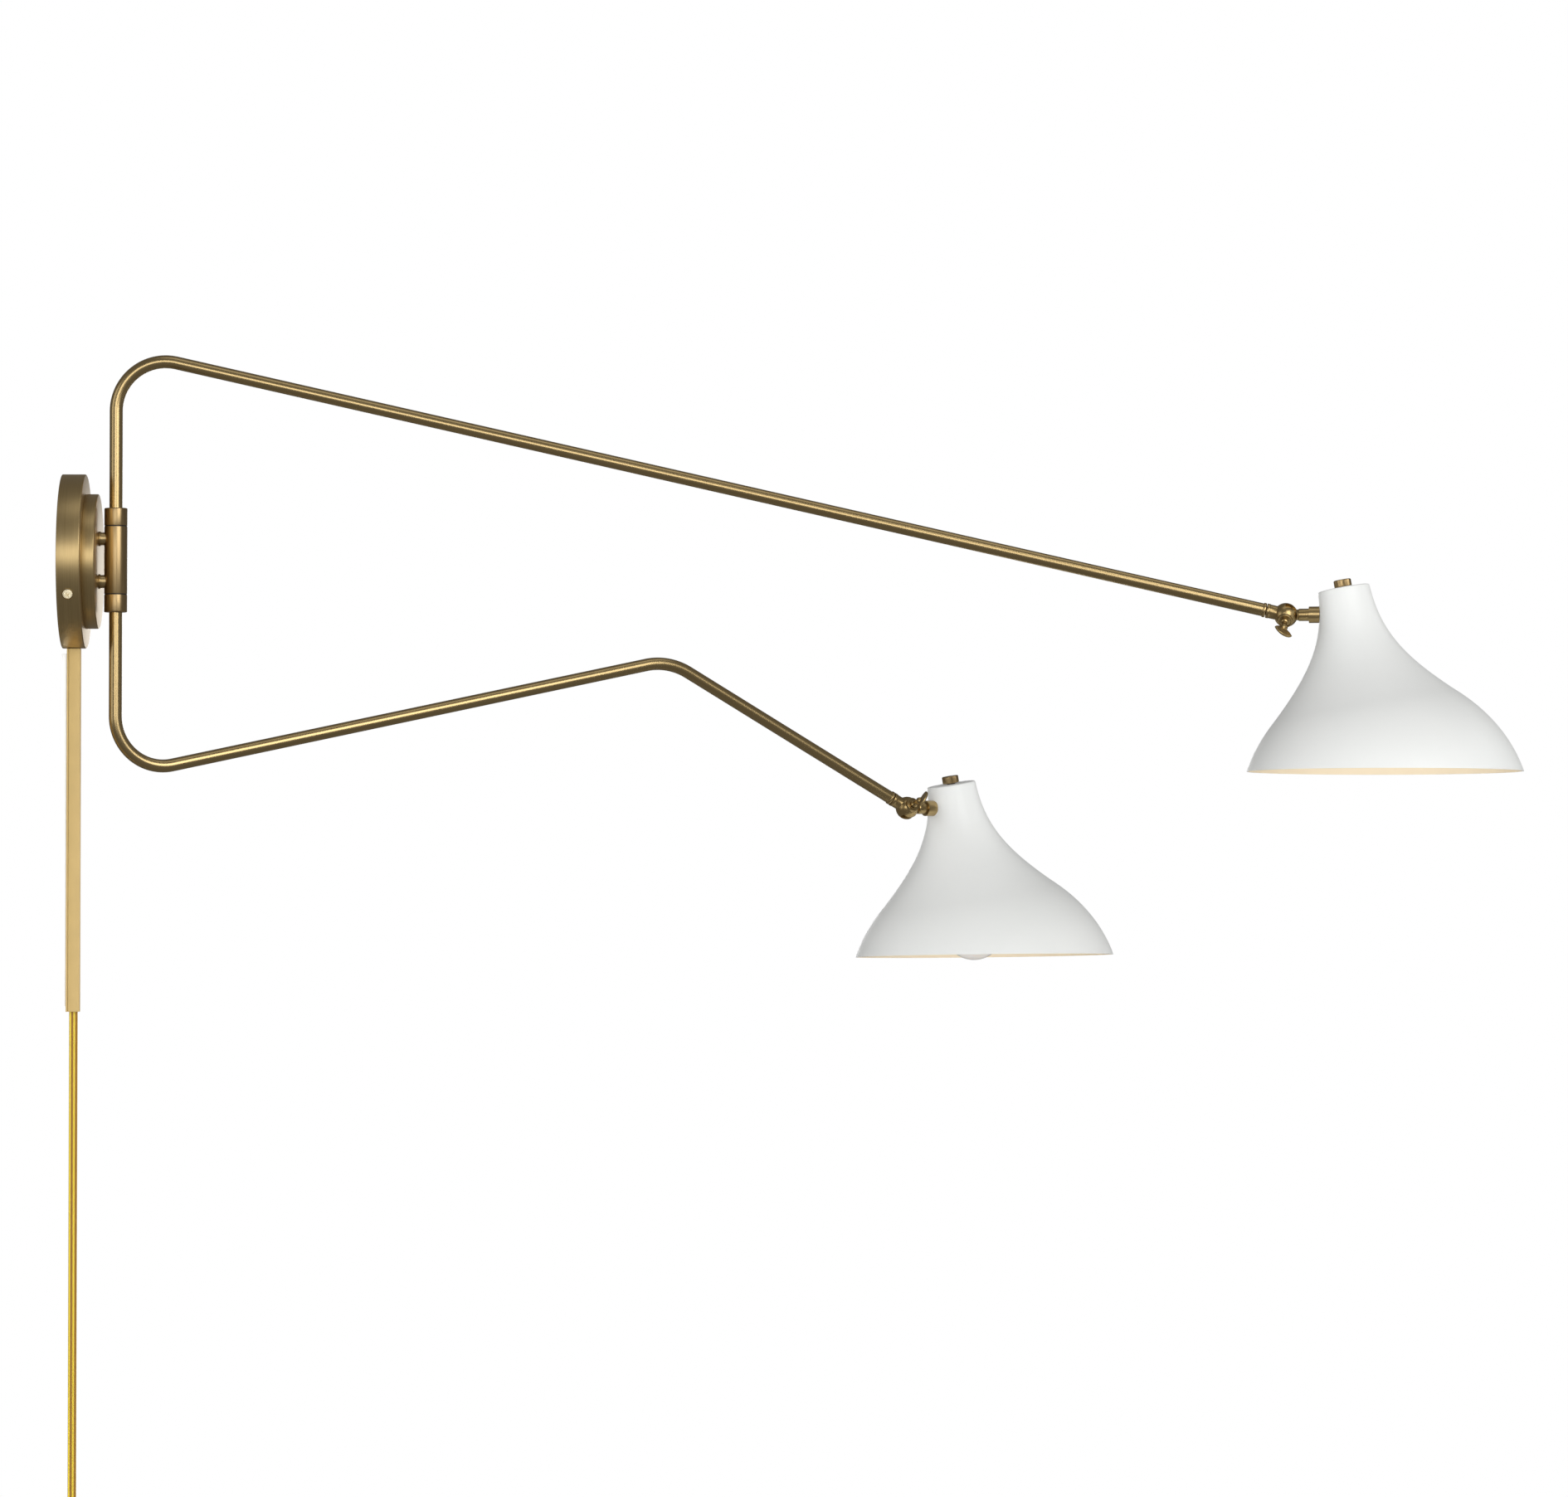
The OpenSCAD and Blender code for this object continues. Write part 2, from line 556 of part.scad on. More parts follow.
// ---------- shade ----------
// Two curves make the outline: a hollow neck and a full skirt, as (radius, depth along the axis)
NECK = [[18.8, 0], [20.5, 35], [34, 56], [65.5, 86]];
SKIRT = [[65.5, 86], [88, 106], [101.5, 130], [105, 157]];
CURVE_STEPS = 16;
function on_curve(c, t) = pow(1 - t, 3) * c[0] + 3 * pow(1 - t, 2) * t * c[1]
                        + 3 * (1 - t) * t * t * c[2] + pow(t, 3) * c[3];
function along(c, t) = let (v = on_curve(c, t + 0.01) - on_curve(c, t - 0.01)) v / norm(v);
// The outline, moved inwards by a distance
function outline(inset) = [for (c = [NECK, SKIRT]) for (k = [(c == NECK ? 0 : 1) : CURVE_STEPS])
    let (t = k / CURVE_STEPS, a = along(c, t)) on_curve(c, t) + inset * [-a[1], a[0]]];
module shade_solid(curve) {
    last = curve[len(curve) - 1];
    rotate([180, 0, 0]) rotate_extrude($fn = 180)
        polygon(concat([[0, curve[0][1]]], curve, [[0, last[1]]]));
}
module shade(lamp) {
    inner = outline(shade_t);
    difference() {
        at_shade(lamp) difference() {
            shade_solid(outline(0));
            translate([0, 0, -shade_t]) shade_solid(concat([[inner[0][0], 0]], [for (i = [1 : len(inner) - 1])
                inner[i] - [0, shade_t]]));
            rod(3.2, -10, 10);
        }
        at_lamp(lamp) translate([-100, -200, stem_below - shade_drop - 100]) cube([400, 400, 100]);
        at_lamp(lamp) rotate([0, 90, 0]) rod(3.95, 18, 30);
    }
}

// ---------- inside the shade ----------
strap_t = 1.5;
strap_x = 26.8;        // the strap's upright leg, against the neck's inside
strap_bend = -25.6;    // height of the strap's bend, from the stem
socket_top = 43;       // along the shade's axis, from the top plate
socket_len = 37;
bulb_r = 23.5;
// From the stem's nut down the neck, then square across the shade's axis
module socket_strap(lamp) {
    difference() {
        union() {
            at_lamp(lamp) translate([strap_x, -6, strap_bend]) cube([strap_t, 12, 5.4 - strap_bend]);
            at_shade(lamp) translate([-22.6, -6, -socket_top + 1]) cube([31.6, 12, strap_t]);
        }
        at_lamp(lamp) rotate([0, 90, 0]) rod(4, 20, 30);
        at_shade(lamp) rod(2.1, -60, -20);
    }
}
module socket(lamp) {
    at_shade(lamp) difference() {
        union() {
            rod(17, -socket_top - socket_len, -socket_top);
            rod(18, -socket_top - socket_len, -socket_top - socket_len + 3);
            rod(5, -socket_top, -socket_top + 1);
        }
        rod(13.7, -socket_top - socket_len - 1, -socket_top - 4.5);
        rod(2, -socket_top - 10, -socket_top + 5);
    }
}
module switch_unit(lamp) {
    at_shade(lamp) {
        pipe(3.1, 1.55, -shade_t - 3, 0.4);
        difference() {
            translate([-7, -9, -shade_t - 15]) cube([17, 18, 13]);
            rod(1.55, -shade_t - 8, 5);
        }
    }
}
module knob(lamp) {
    at_shade(lamp) {
        rod(knob_d / 2 - 0.4, 0.7, 0.7 + knob_h);
        rod(knob_d / 2, 1.1, 0.3 + knob_h);
        rod(1.5, -shade_t - 7, 1.2);
    }
}
module bulb(lamp) {
    mouth_z = -socket_top - socket_len;
    middle_z = bulb_r - lamp[7];
    at_shade(lamp) difference() {
        rotate_extrude() {
            translate([0, middle_z]) intersection() {
                circle(bulb_r);
                translate([0, -bulb_r]) square([bulb_r, 1.5 * bulb_r]);
            }
            polygon([[0, middle_z + 0.4 * bulb_r], [20.6, middle_z + 0.48 * bulb_r], [15.5, mouth_z - 6],
                     [12.8, mouth_z - 1], [12.8, mouth_z + 4], [0, mouth_z + 4]]);
        }
        translate([0, 0, middle_z]) sphere(bulb_r - 1);
    }
}
module bulb_base(lamp) {
    at_shade(lamp) {
        rod(12.8, -socket_top - socket_len + 4, -socket_top - 12);
        translate([0, 0, -socket_top - 12]) cylinder(r1 = 12.8, r2 = 5, h = 5);
        rod(4.6, -socket_top - 7, -socket_top - 5);
    }
}
// The screw that holds the socket to its strap
module socket_screw(lamp) {
    at_shade(lamp) translate([0, 0, -socket_top + 1 + strap_t]) pan_screw(3.6, 2.2, 2, 6.5);
}
// Leads: from the stem's nipple to the switch, and from the switch down to the socket
module leads(lamp) {
    under = -shade_t - 15;
    at_shade(lamp) for (s = [-1, 1]) {
        swept([[-12.8, s, -17.2], [-10, s, -18.4], [-6.5, s * 2, -20.5], [-4.5, s * 3, -19],
               [-4.5, s * 3, under]], 0.8, 0, 8);
        swept([[3, s * 6, under], [3, s * 6, -20], [6, s * 7, -28], [10, s * 6.5, -35],
               [11.5, s * 5, -39], [11.5, s * 5, -socket_top]], 0.8, 0, 8);
    }
}

module upper_knuckle() { color(BRASS) knuckle(UPPER); }
module upper_thumbscrew() { color(BRASS) thumbscrew(UPPER); }
module upper_stem() { color(BRASS) stem(UPPER); }
module upper_stem_collar() { color(BRASS) stem_collar(UPPER); }
module upper_stem_nut() { color(STEEL) stem_nut(UPPER); }
module upper_shade() { color(WHITE) shade(UPPER); }
module upper_socket_strap() { color(STEEL) socket_strap(UPPER); }
module upper_socket_screw() { color(STEEL) socket_screw(UPPER); }
module upper_socket() { color(BLACK) socket(UPPER); }
module upper_switch() { color(BLACK) switch_unit(UPPER); }
module upper_knob() { color(BRASS) knob(UPPER); }
module upper_bulb() { color("#f6efe2") bulb(UPPER); }
module upper_bulb_base() { color(STEEL) bulb_base(UPPER); }
module upper_leads() { color(BLACK) leads(UPPER); }

module lower_knuckle() { color(BRASS) knuckle(LOWER); }
module lower_thumbscrew() { color(BRASS) thumbscrew(LOWER); }
module lower_stem() { color(BRASS) stem(LOWER); }
module lower_stem_collar() { color(BRASS) stem_collar(LOWER); }
module lower_stem_nut() { color(STEEL) stem_nut(LOWER); }
module lower_shade() { color(WHITE) shade(LOWER); }
module lower_socket_strap() { color(STEEL) socket_strap(LOWER); }
module lower_socket_screw() { color(STEEL) socket_screw(LOWER); }
module lower_socket() { color(BLACK) socket(LOWER); }
module lower_switch() { color(BLACK) switch_unit(LOWER); }
module lower_knob() { color(BRASS) knob(LOWER); }
module lower_bulb() { color("#f6efe2") bulb(LOWER); }
module lower_bulb_base() { color(STEEL) bulb_base(LOWER); }
module lower_leads() { color(BLACK) leads(LOWER); }

mounting_plate();
side_screws();
ground_screw();
canopy();
canopy_step();
standoffs();
standoff_nuts();
hub();
hub_bushes();
hub_washers();
strain_relief();
wire_nuts();
canopy_wires();
cord_cover();
cover_tape();
cord();
cord_coil();
cord_tail();
coil_tie();
plug_body();
plug_blades();
upper_arm_tube();
upper_collar();
upper_retainer();
upper_end_fitting();
upper_arm_wires();
upper_knuckle();
upper_thumbscrew();
upper_stem();
upper_stem_collar();
upper_stem_nut();
upper_shade();
upper_socket_strap();
upper_socket_screw();
upper_socket();
upper_switch();
upper_knob();
upper_bulb();
upper_bulb_base();
upper_leads();
lower_arm_tube();
lower_collar();
lower_retainer();
lower_end_fitting();
lower_arm_wires();
lower_knuckle();
lower_thumbscrew();
lower_stem();
lower_stem_collar();
lower_stem_nut();
lower_shade();
lower_socket_strap();
lower_socket_screw();
lower_socket();
lower_switch();
lower_knob();
lower_bulb();
lower_bulb_base();
lower_leads();
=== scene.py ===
import json
import math

import bmesh
import bpy
from mathutils import Matrix, Vector

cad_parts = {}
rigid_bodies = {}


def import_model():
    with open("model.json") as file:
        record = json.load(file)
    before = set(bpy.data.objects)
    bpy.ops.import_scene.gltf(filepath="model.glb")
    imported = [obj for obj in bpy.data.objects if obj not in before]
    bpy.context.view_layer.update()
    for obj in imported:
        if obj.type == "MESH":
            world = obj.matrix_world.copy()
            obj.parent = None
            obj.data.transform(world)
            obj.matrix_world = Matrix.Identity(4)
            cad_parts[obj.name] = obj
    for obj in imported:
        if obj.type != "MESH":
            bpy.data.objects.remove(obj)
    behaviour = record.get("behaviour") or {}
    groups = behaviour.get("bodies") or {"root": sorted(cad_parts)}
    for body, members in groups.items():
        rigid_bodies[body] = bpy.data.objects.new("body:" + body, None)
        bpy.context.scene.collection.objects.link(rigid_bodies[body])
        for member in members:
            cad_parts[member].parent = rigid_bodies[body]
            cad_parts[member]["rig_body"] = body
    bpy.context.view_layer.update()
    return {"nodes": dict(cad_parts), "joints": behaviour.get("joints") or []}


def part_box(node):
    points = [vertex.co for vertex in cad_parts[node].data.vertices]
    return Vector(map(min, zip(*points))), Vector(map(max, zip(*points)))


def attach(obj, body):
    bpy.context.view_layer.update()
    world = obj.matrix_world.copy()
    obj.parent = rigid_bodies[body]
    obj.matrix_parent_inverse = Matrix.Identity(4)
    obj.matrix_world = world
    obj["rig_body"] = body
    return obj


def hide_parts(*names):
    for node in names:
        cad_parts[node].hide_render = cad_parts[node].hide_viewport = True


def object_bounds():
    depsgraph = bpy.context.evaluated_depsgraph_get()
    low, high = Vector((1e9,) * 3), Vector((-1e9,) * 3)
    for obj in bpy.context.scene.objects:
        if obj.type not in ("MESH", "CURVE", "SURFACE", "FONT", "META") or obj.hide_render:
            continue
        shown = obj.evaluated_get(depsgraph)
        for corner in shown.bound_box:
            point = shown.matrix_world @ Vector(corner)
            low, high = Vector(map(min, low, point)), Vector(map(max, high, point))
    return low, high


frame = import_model()
JOINTS = {j["name"]: j for j in frame["joints"]}
MM = 0.001
X, Y, Z = Vector((1, 0, 0)), Vector((0, 1, 0)), Vector((0, 0, 1))


# ---------- camera: a long lens, almost level, beside the arms' plane ----------
cam = bpy.data.objects.new("camera", bpy.data.cameras.new("camera"))
bpy.context.scene.collection.objects.link(cam)
cam.location = (0.382, -4.5, -0.268)
cam.rotation_euler = (math.radians(91.6807), 0, math.radians(-1.8305))
cam.data.sensor_width = 36
cam.data.lens = 141.48
bpy.context.scene.camera = cam


# ---------- mesh helpers ----------
def new_object(name, bm, smooth=True):
    """An object from a bmesh, which is freed."""
    mesh = bpy.data.meshes.new(name)
    bmesh.ops.recalc_face_normals(bm, faces=bm.faces)
    bm.to_mesh(mesh)
    bm.free()
    for p in mesh.polygons:
        p.use_smooth = smooth
    obj = bpy.data.objects.new(name, mesh)
    bpy.context.scene.collection.objects.link(obj)
    return obj


def sharpen(obj, degrees=35):
    """Edges sharper than this stay sharp under smooth shading."""
    bm = bmesh.new()
    bm.from_mesh(obj.data)
    for e in bm.edges:
        if len(e.link_faces) == 2 and e.calc_face_angle(0) > math.radians(degrees):
            e.smooth = False
    bm.to_mesh(obj.data)
    bm.free()
    return obj


def rounded(points, radius, steps=4, closed=False):
    """A polyline with each inner corner turned into an arc. radius is one number, or one for each corner."""
    points = [Vector(p) for p in points]
    n = len(points)
    out = []
    for i, p in enumerate(points):
        r = radius[i] if isinstance(radius, (list, tuple)) else radius
        if (not closed and i in (0, n - 1)) or r == 0:
            out.append(p)
            continue
        a, b = points[i - 1] - p, points[(i + 1) % n] - p
        la, lb = a.length, b.length
        a, b = a / la, b / lb
        turn = math.pi - a.angle(b)
        if turn < 1e-3:
            out.append(p)
            continue
        reach = min(r * math.tan(turn / 2), la * 0.49, lb * 0.49)
        r = reach / math.tan(turn / 2)
        centre = p + (a + b).normalized() * math.hypot(reach, r)
        u = (p + a * reach - centre).normalized()
        w = (p + b * reach - centre).normalized()
        side = (w - u * u.dot(w)).normalized()
        out += [centre + (u * math.cos(turn * k / steps) + side * math.sin(turn * k / steps)) * r
                for k in range(steps + 1)]
    return out


def across(axis):
    """Two unit vectors square to an axis and to each other."""
    a = axis.cross(Z if abs(axis.z) < 0.9 else X).normalized()
    return a, axis.cross(a).normalized()


def add_uv(bm):
    return bm.loops.layers.uv.verify()


def lathe(name, profile, origin, axis, turns=96):
    """A solid of revolution: (radius, height) points turned about an axis, as a skin. UVs in metres."""
    axis = axis.normalized()
    u, v = across(axis)
    bm = bmesh.new()
    uv = add_uv(bm)
    run = [0]
    for p, q in zip(profile, profile[1:]):
        run.append(run[-1] + math.hypot(q[0] - p[0], q[1] - p[1]))
    rings = []
    for r, h in profile:
        centre = origin + axis * h
        if r < 1e-7:
            rings.append([bm.verts.new(centre)])
        else:
            rings.append([bm.verts.new(centre + (u * math.cos(a) + v * math.sin(a)) * r)
                          for a in (2 * math.pi * k / turns for k in range(turns))])
    for i in range(len(rings) - 1):
        a, b = rings[i], rings[i + 1]
        around = 2 * math.pi * max(profile[i][0], profile[i + 1][0]) / turns
        for k in range(turns):
            k1 = (k + 1) % turns
            if len(a) == 1 and len(b) == 1:
                continue
            if len(a) == 1:
                corners = [(a[0], k + 0.5, i), (b[k], k, i + 1), (b[k1], k + 1, i + 1)]
            elif len(b) == 1:
                corners = [(a[k], k, i), (b[0], k + 0.5, i + 1), (a[k1], k + 1, i)]
            else:
                corners = [(a[k], k, i), (b[k], k, i + 1), (b[k1], k + 1, i + 1), (a[k1], k + 1, i)]
            face = bm.faces.new([c[0] for c in corners])
            for loop, (_, step, ring) in zip(face.loops, corners):
                loop[uv].uv = (step * around, run[ring])
    return new_object(name, bm)


def ring_profile(outer, inner, low, high, edge=0.3 * MM):
    """A pipe's profile with softened edges, closed on itself."""
    corners = rounded([(outer, low, 0), (outer, high, 0), (inner, high, 0), (inner, low, 0)], edge, 3, True)
    return [(p.x, p.y) for p in corners + corners[:1]]


def rod_profile(points, edge=0.3 * MM, steps=3):
    """A solid's profile, from axis to axis, with softened corners."""
    return [(p.x, p.y) for p in rounded([(r, h, 0) for r, h in points], edge, steps)]


def sweep(name, path, section, normal):
    """Sweeps a closed section, (across, up the normal), along a path square to the normal. UVs in metres."""
    bm = bmesh.new()
    uv = add_uv(bm)
    n, m = len(path), len(section)
    edge = [0]
    for k in range(m):
        p, q = section[k], section[(k + 1) % m]
        edge.append(edge[-1] + math.hypot(q[0] - p[0], q[1] - p[1]))
    rings, run = [], [0]
    for i, p in enumerate(path):
        heading = (path[min(i + 1, n - 1)] - path[max(i - 1, 0)]).normalized()
        side = normal.cross(heading).normalized()
        rings.append([bm.verts.new(p + side * s + normal * t) for s, t in section])
        if i:
            run.append(run[-1] + (p - path[i - 1]).length)
    for i in range(n - 1):
        for k in range(m):
            k1 = (k + 1) % m
            face = bm.faces.new([rings[i][k], rings[i][k1], rings[i + 1][k1], rings[i + 1][k]])
            for loop, (s, t) in zip(face.loops, ((k, i), (k + 1, i), (k + 1, i + 1), (k, i + 1))):
                loop[uv].uv = (edge[s], run[t])
    bm.faces.new(rings[0][::-1])
    bm.faces.new(rings[-1])
    return new_object(name, bm)


def circle(radius, steps):
    """A circle's points, for sweep."""
    return [(radius * math.cos(2 * math.pi * k / steps), radius * math.sin(2 * math.pi * k / steps))
            for k in range(steps)]


def apply_modifiers(obj):
    """Swaps the object's mesh for what its modifiers make of it."""
    graph = bpy.context.evaluated_depsgraph_get()
    mesh = bpy.data.meshes.new_from_object(obj.evaluated_get(graph))
    obj.modifiers.clear()
    old = obj.data
    obj.data = mesh
    bpy.data.meshes.remove(old)
    return obj


def combine(obj, tool, operation):
    """Cuts tool out of obj, or joins it to obj, and removes the tool."""
    mod = obj.modifiers.new("combine", "BOOLEAN")
    mod.operation = operation
    mod.object = tool
    mod.solver = "EXACT"
    bpy.context.view_layer.update()
    apply_modifiers(obj)
    bpy.data.objects.remove(tool)
    return obj


def soften(obj, width, segments=2, degrees=35):
    """Small rounded edges, as turned and tumbled metal has."""
    bm = bmesh.new()
    bm.from_mesh(obj.data)
    bmesh.ops.remove_doubles(bm, verts=bm.verts, dist=1e-6)
    bmesh.ops.dissolve_degenerate(bm, edges=bm.edges, dist=1e-6)
    bm.to_mesh(obj.data)
    bm.free()
    mod = obj.modifiers.new("soften", "BEVEL")
    mod.width = width
    mod.segments = segments
    mod.limit_method = "ANGLE"
    mod.angle_limit = math.radians(degrees)
    mod.use_clamp_overlap = True
    bpy.context.view_layer.update()
    apply_modifiers(obj)
    for p in obj.data.polygons:
        p.use_smooth = True
    return sharpen(obj, degrees)


def block(name, size, matrix):
    """A box of that size about its centre, placed by a matrix."""
    bm = bmesh.new()
    bmesh.ops.create_cube(bm, size=1, matrix=matrix @ Matrix.Diagonal((*size, 1)))
    return new_object(name, bm, False)


def frame_matrix(origin, x, y, z):
    """A matrix that takes the axes to three unit vectors at an origin."""
    m = Matrix.Identity(4)
    for i, v in enumerate((x, y, z)):
        m.col[i].xyz = v
    m.col[3].xyz = origin
    return m


def join(name, objects):
    """Puts the meshes of several objects into one new object."""
    bm = bmesh.new()
    for o in objects:
        bm.from_mesh(o.data)
        bpy.data.objects.remove(o)
    return new_object(name, bm)


# ---------- materials ----------
def material(name):
    """A new node material, with its nodes, its links and its shader."""
    m = bpy.data.materials.new(name)
    m.use_nodes = True
    return m, m.node_tree.nodes, m.node_tree.links, m.node_tree.nodes["Principled BSDF"]


def scaled(nodes, links, source, scale):
    mapping = nodes.new("ShaderNodeMapping")
    mapping.inputs["Scale"].default_value = scale
    links.new(source, mapping.inputs["Vector"])
    return mapping.outputs["Vector"]


def noise(nodes, links, vector, scale=1.0, detail=4.0):
    tex = nodes.new("ShaderNodeTexNoise")
    tex.inputs["Scale"].default_value = scale
    tex.inputs["Detail"].default_value = detail
    links.new(vector, tex.inputs["Vector"])
    return tex.outputs["Fac"]


def ramp(nodes, links, fac, stops):
    node = nodes.new("ShaderNodeValToRGB")
    elements = node.color_ramp.elements
    while len(elements) < len(stops):
        elements.new(0.5)
    for element, (place, colour) in zip(elements, stops):
        element.position = place
        element.color = (*colour, 1)
    links.new(fac, node.inputs["Fac"])
    return node.outputs["Color"]


def bump(nodes, links, shader, height, distance, strength=1.0):
    node = nodes.new("ShaderNodeBump")
    node.inputs["Distance"].default_value = distance
    node.inputs["Strength"].default_value = strength
    links.new(height, node.inputs["Height"])
    links.new(node.outputs["Normal"], shader.inputs["Normal"])


def span(nodes, links, fac, low, high):
    node = nodes.new("ShaderNodeMapRange")
    node.inputs["To Min"].default_value = low
    node.inputs["To Max"].default_value = high
    links.new(fac, node.inputs["Value"])
    return node.outputs["Result"]


def brass(name, grain, light=(0.58, 0.435, 0.215), dark=(0.46, 0.325, 0.145), rough=(0.26, 0.36),
          depth=0.0015):
    """Brushed antique brass. grain scales the scratches over the UVs, or over the object with three numbers.
    depth is the scratches' depth in mm."""
    m, nodes, links, shader = material(name)
    coord = nodes.new("ShaderNodeTexCoord")
    source = coord.outputs["UV"] if len(grain) == 2 else coord.outputs["Object"]
    fine = noise(nodes, links, scaled(nodes, links, source, (*grain, 1)[:3]), 1, 3)
    cloud = noise(nodes, links, coord.outputs["Object"], 16, 3)
    mix = nodes.new("ShaderNodeMath")
    mix.operation = "MULTIPLY_ADD"
    links.new(fine, mix.inputs[0])
    mix.inputs[1].default_value = 0.8
    half = nodes.new("ShaderNodeMath")
    half.operation = "MULTIPLY"
    half.inputs[1].default_value = 0.2
    links.new(cloud, half.inputs[0])
    links.new(half.outputs[0], mix.inputs[2])
    between = tuple((a + b) / 2 for a, b in zip(light, dark))
    tint = ramp(nodes, links, mix.outputs[0], [(0.3, dark), (0.5, between), (0.7, light)])
    links.new(tint, shader.inputs["Base Color"])
    links.new(span(nodes, links, fine, *rough), shader.inputs["Roughness"])
    shader.inputs["Metallic"].default_value = 1
    bump(nodes, links, shader, fine, depth * MM, 0.5)
    return m


def plastic(name, colour, rough=0.45, grain=900, depth=0.02 * MM, metallic=0.0, vary=0.12):
    """Moulded plastic or plain metal with a fine grain and slight mottling."""
    m, nodes, links, shader = material(name)
    coord = nodes.new("ShaderNodeTexCoord")
    fine = noise(nodes, links, coord.outputs["Object"], grain, 3)
    cloud = noise(nodes, links, coord.outputs["Object"], 60, 4)
    tint = ramp(nodes, links, cloud, [(0.3, tuple(c * (1 - vary) for c in colour)),
                                      (0.7, tuple(min(1, c * (1 + vary)) for c in colour))])
    links.new(tint, shader.inputs["Base Color"])
    links.new(span(nodes, links, fine, rough - 0.08, rough + 0.08), shader.inputs["Roughness"])
    shader.inputs["Metallic"].default_value = metallic
    bump(nodes, links, shader, fine, depth)
    return m


def enamel(name, colour, warm, rough=0.42):
    """Satin powder coat with a faint orange peel."""
    m, nodes, links, shader = material(name)
    coord = nodes.new("ShaderNodeTexCoord")
    peel = noise(nodes, links, coord.outputs["Object"], 700, 2)
    cloud = noise(nodes, links, coord.outputs["Object"], 14, 3)
    links.new(ramp(nodes, links, cloud, [(0.3, colour), (0.7, warm)]), shader.inputs["Base Color"])
    links.new(span(nodes, links, cloud, rough - 0.04, rough + 0.05), shader.inputs["Roughness"])
    bump(nodes, links, shader, peel, 0.015 * MM, 0.5)
    return m


TUBE_BRASS = brass("brass_drawn_tube", (700, 6), (0.55, 0.41, 0.2), (0.47, 0.34, 0.155), (0.25, 0.29), 0.0004)
TURNED_BRASS = brass("brass_turned", (40, 4200))
DISC_BRASS = brass("brass_disc_side", (12, 3200), (0.6, 0.45, 0.22), (0.46, 0.33, 0.15), (0.32, 0.42))
CAST_BRASS = brass("brass_cast", (120, 120, 120), (0.52, 0.385, 0.18), (0.44, 0.31, 0.135), (0.27, 0.33),
                   0.001)
KNOB_BRASS = brass("brass_knob", (1600, 30), (0.5, 0.365, 0.19), (0.33, 0.225, 0.1), (0.28, 0.36), 0.002)
STEEL = plastic("steel_zinc", (0.55, 0.56, 0.57), 0.34, 500, 0.015 * MM, 1.0)
ALUMINIUM = plastic("aluminium_rolled", (0.72, 0.73, 0.74), 0.3, 800, 0.01 * MM, 1.0)
BLACK = plastic("plastic_black", (0.022, 0.022, 0.023), 0.42)
BUSH = plastic("plastic_bush", (0.72, 0.7, 0.64), 0.5)
GREEN = plastic("paint_green", (0.04, 0.2, 0.08), 0.4)
NUT_ORANGE = plastic("plastic_wire_nut", (0.6, 0.22, 0.05), 0.48)
WIRE = plastic("plastic_wire", (0.03, 0.03, 0.03), 0.35)
FOAM = plastic("foam_tape", (0.98, 0.98, 0.97), 0.85, 2600, 0.05 * MM, 0.0, 0.015)
PHENOLIC = plastic("plastic_phenolic", (0.028, 0.026, 0.025), 0.36, 300, 0.03 * MM)
BLADE = plastic("brass_plain", (0.6, 0.45, 0.2), 0.28, 700, 0.01 * MM, 1.0)
SCREW_HEAD = plastic("brass_pale", (0.86, 0.76, 0.52), 0.5, 700, 0.01 * MM, 0.25)
WHITE = enamel("enamel_white", (0.79, 0.805, 0.79), (0.81, 0.82, 0.805))
# The shade's inside: a warm cream enamel, deepened to stand for the warm light of a lit bulb, which is
# painted light.
CREAM_AND_PAINTED_GLOW = enamel("enamel_cream_painted_glow", (0.97, 0.84, 0.62), (0.99, 0.87, 0.67), 0.6)
COVER = plastic("cover_brass_paint", (0.6, 0.42, 0.155), 0.5, 1600, 0.012 * MM, 0.0, 0.04)
PLUG = plastic("plug_gold", (0.4, 0.24, 0.045), 0.3, 500, 0.02 * MM)


def cord_material():
    """Clear gold insulation over two stranded conductors, with a fine grain of strands, and painted light
    across each lobe: a painted highlight along one side and painted shade along the other.
    """
    m, nodes, links, shader = material("cord_gold")
    coord = nodes.new("ShaderNodeTexCoord")
    # The painted light across each lobe, read from the mesh: a painted highlight on one side, painted shade
    # on the other.
    painted_lobe_light = nodes.new("ShaderNodeAttribute")
    painted_lobe_light.attribute_name = "painted_lobe_light"
    strands = noise(nodes, links, scaled(nodes, links, coord.outputs["UV"], (900, 260, 1)), 1, 2)
    blend = nodes.new("ShaderNodeMath")
    blend.operation = "MULTIPLY_ADD"
    links.new(strands, blend.inputs[0])
    blend.inputs[1].default_value = 0.1
    links.new(painted_lobe_light.outputs["Fac"], blend.inputs[2])
    tint = ramp(nodes, links, blend.outputs[0], [(0.1, (0.24, 0.1, 0.005)), (0.4, (0.4, 0.22, 0.012)),
                                                 (0.7, (0.68, 0.46, 0.03)), (1.0, (0.95, 0.74, 0.07))])
    links.new(tint, shader.inputs["Base Color"])
    shader.inputs["Roughness"].default_value = 0.28
    shader.inputs["Coat Weight"].default_value = 0.5
    bump(nodes, links, shader, strands, 0.05 * MM, 0.4)
    return m


def glass_material():
    """Soft white bulb glass, off."""
    m, nodes, links, shader = material("bulb_soft_white")
    coord = nodes.new("ShaderNodeTexCoord")
    cloud = noise(nodes, links, coord.outputs["Object"], 30, 2)
    links.new(ramp(nodes, links, cloud, [(0.3, (0.93, 0.86, 0.8)), (0.7, (0.97, 0.91, 0.86))]),
              shader.inputs["Base Color"])
    shader.inputs["Roughness"].default_value = 0.16
    shader.inputs["Subsurface Weight"].default_value = 0.4
    shader.inputs["Subsurface Radius"].default_value = (0.01, 0.008, 0.006)
    return m


CORD = cord_material()
GLASS = glass_material()


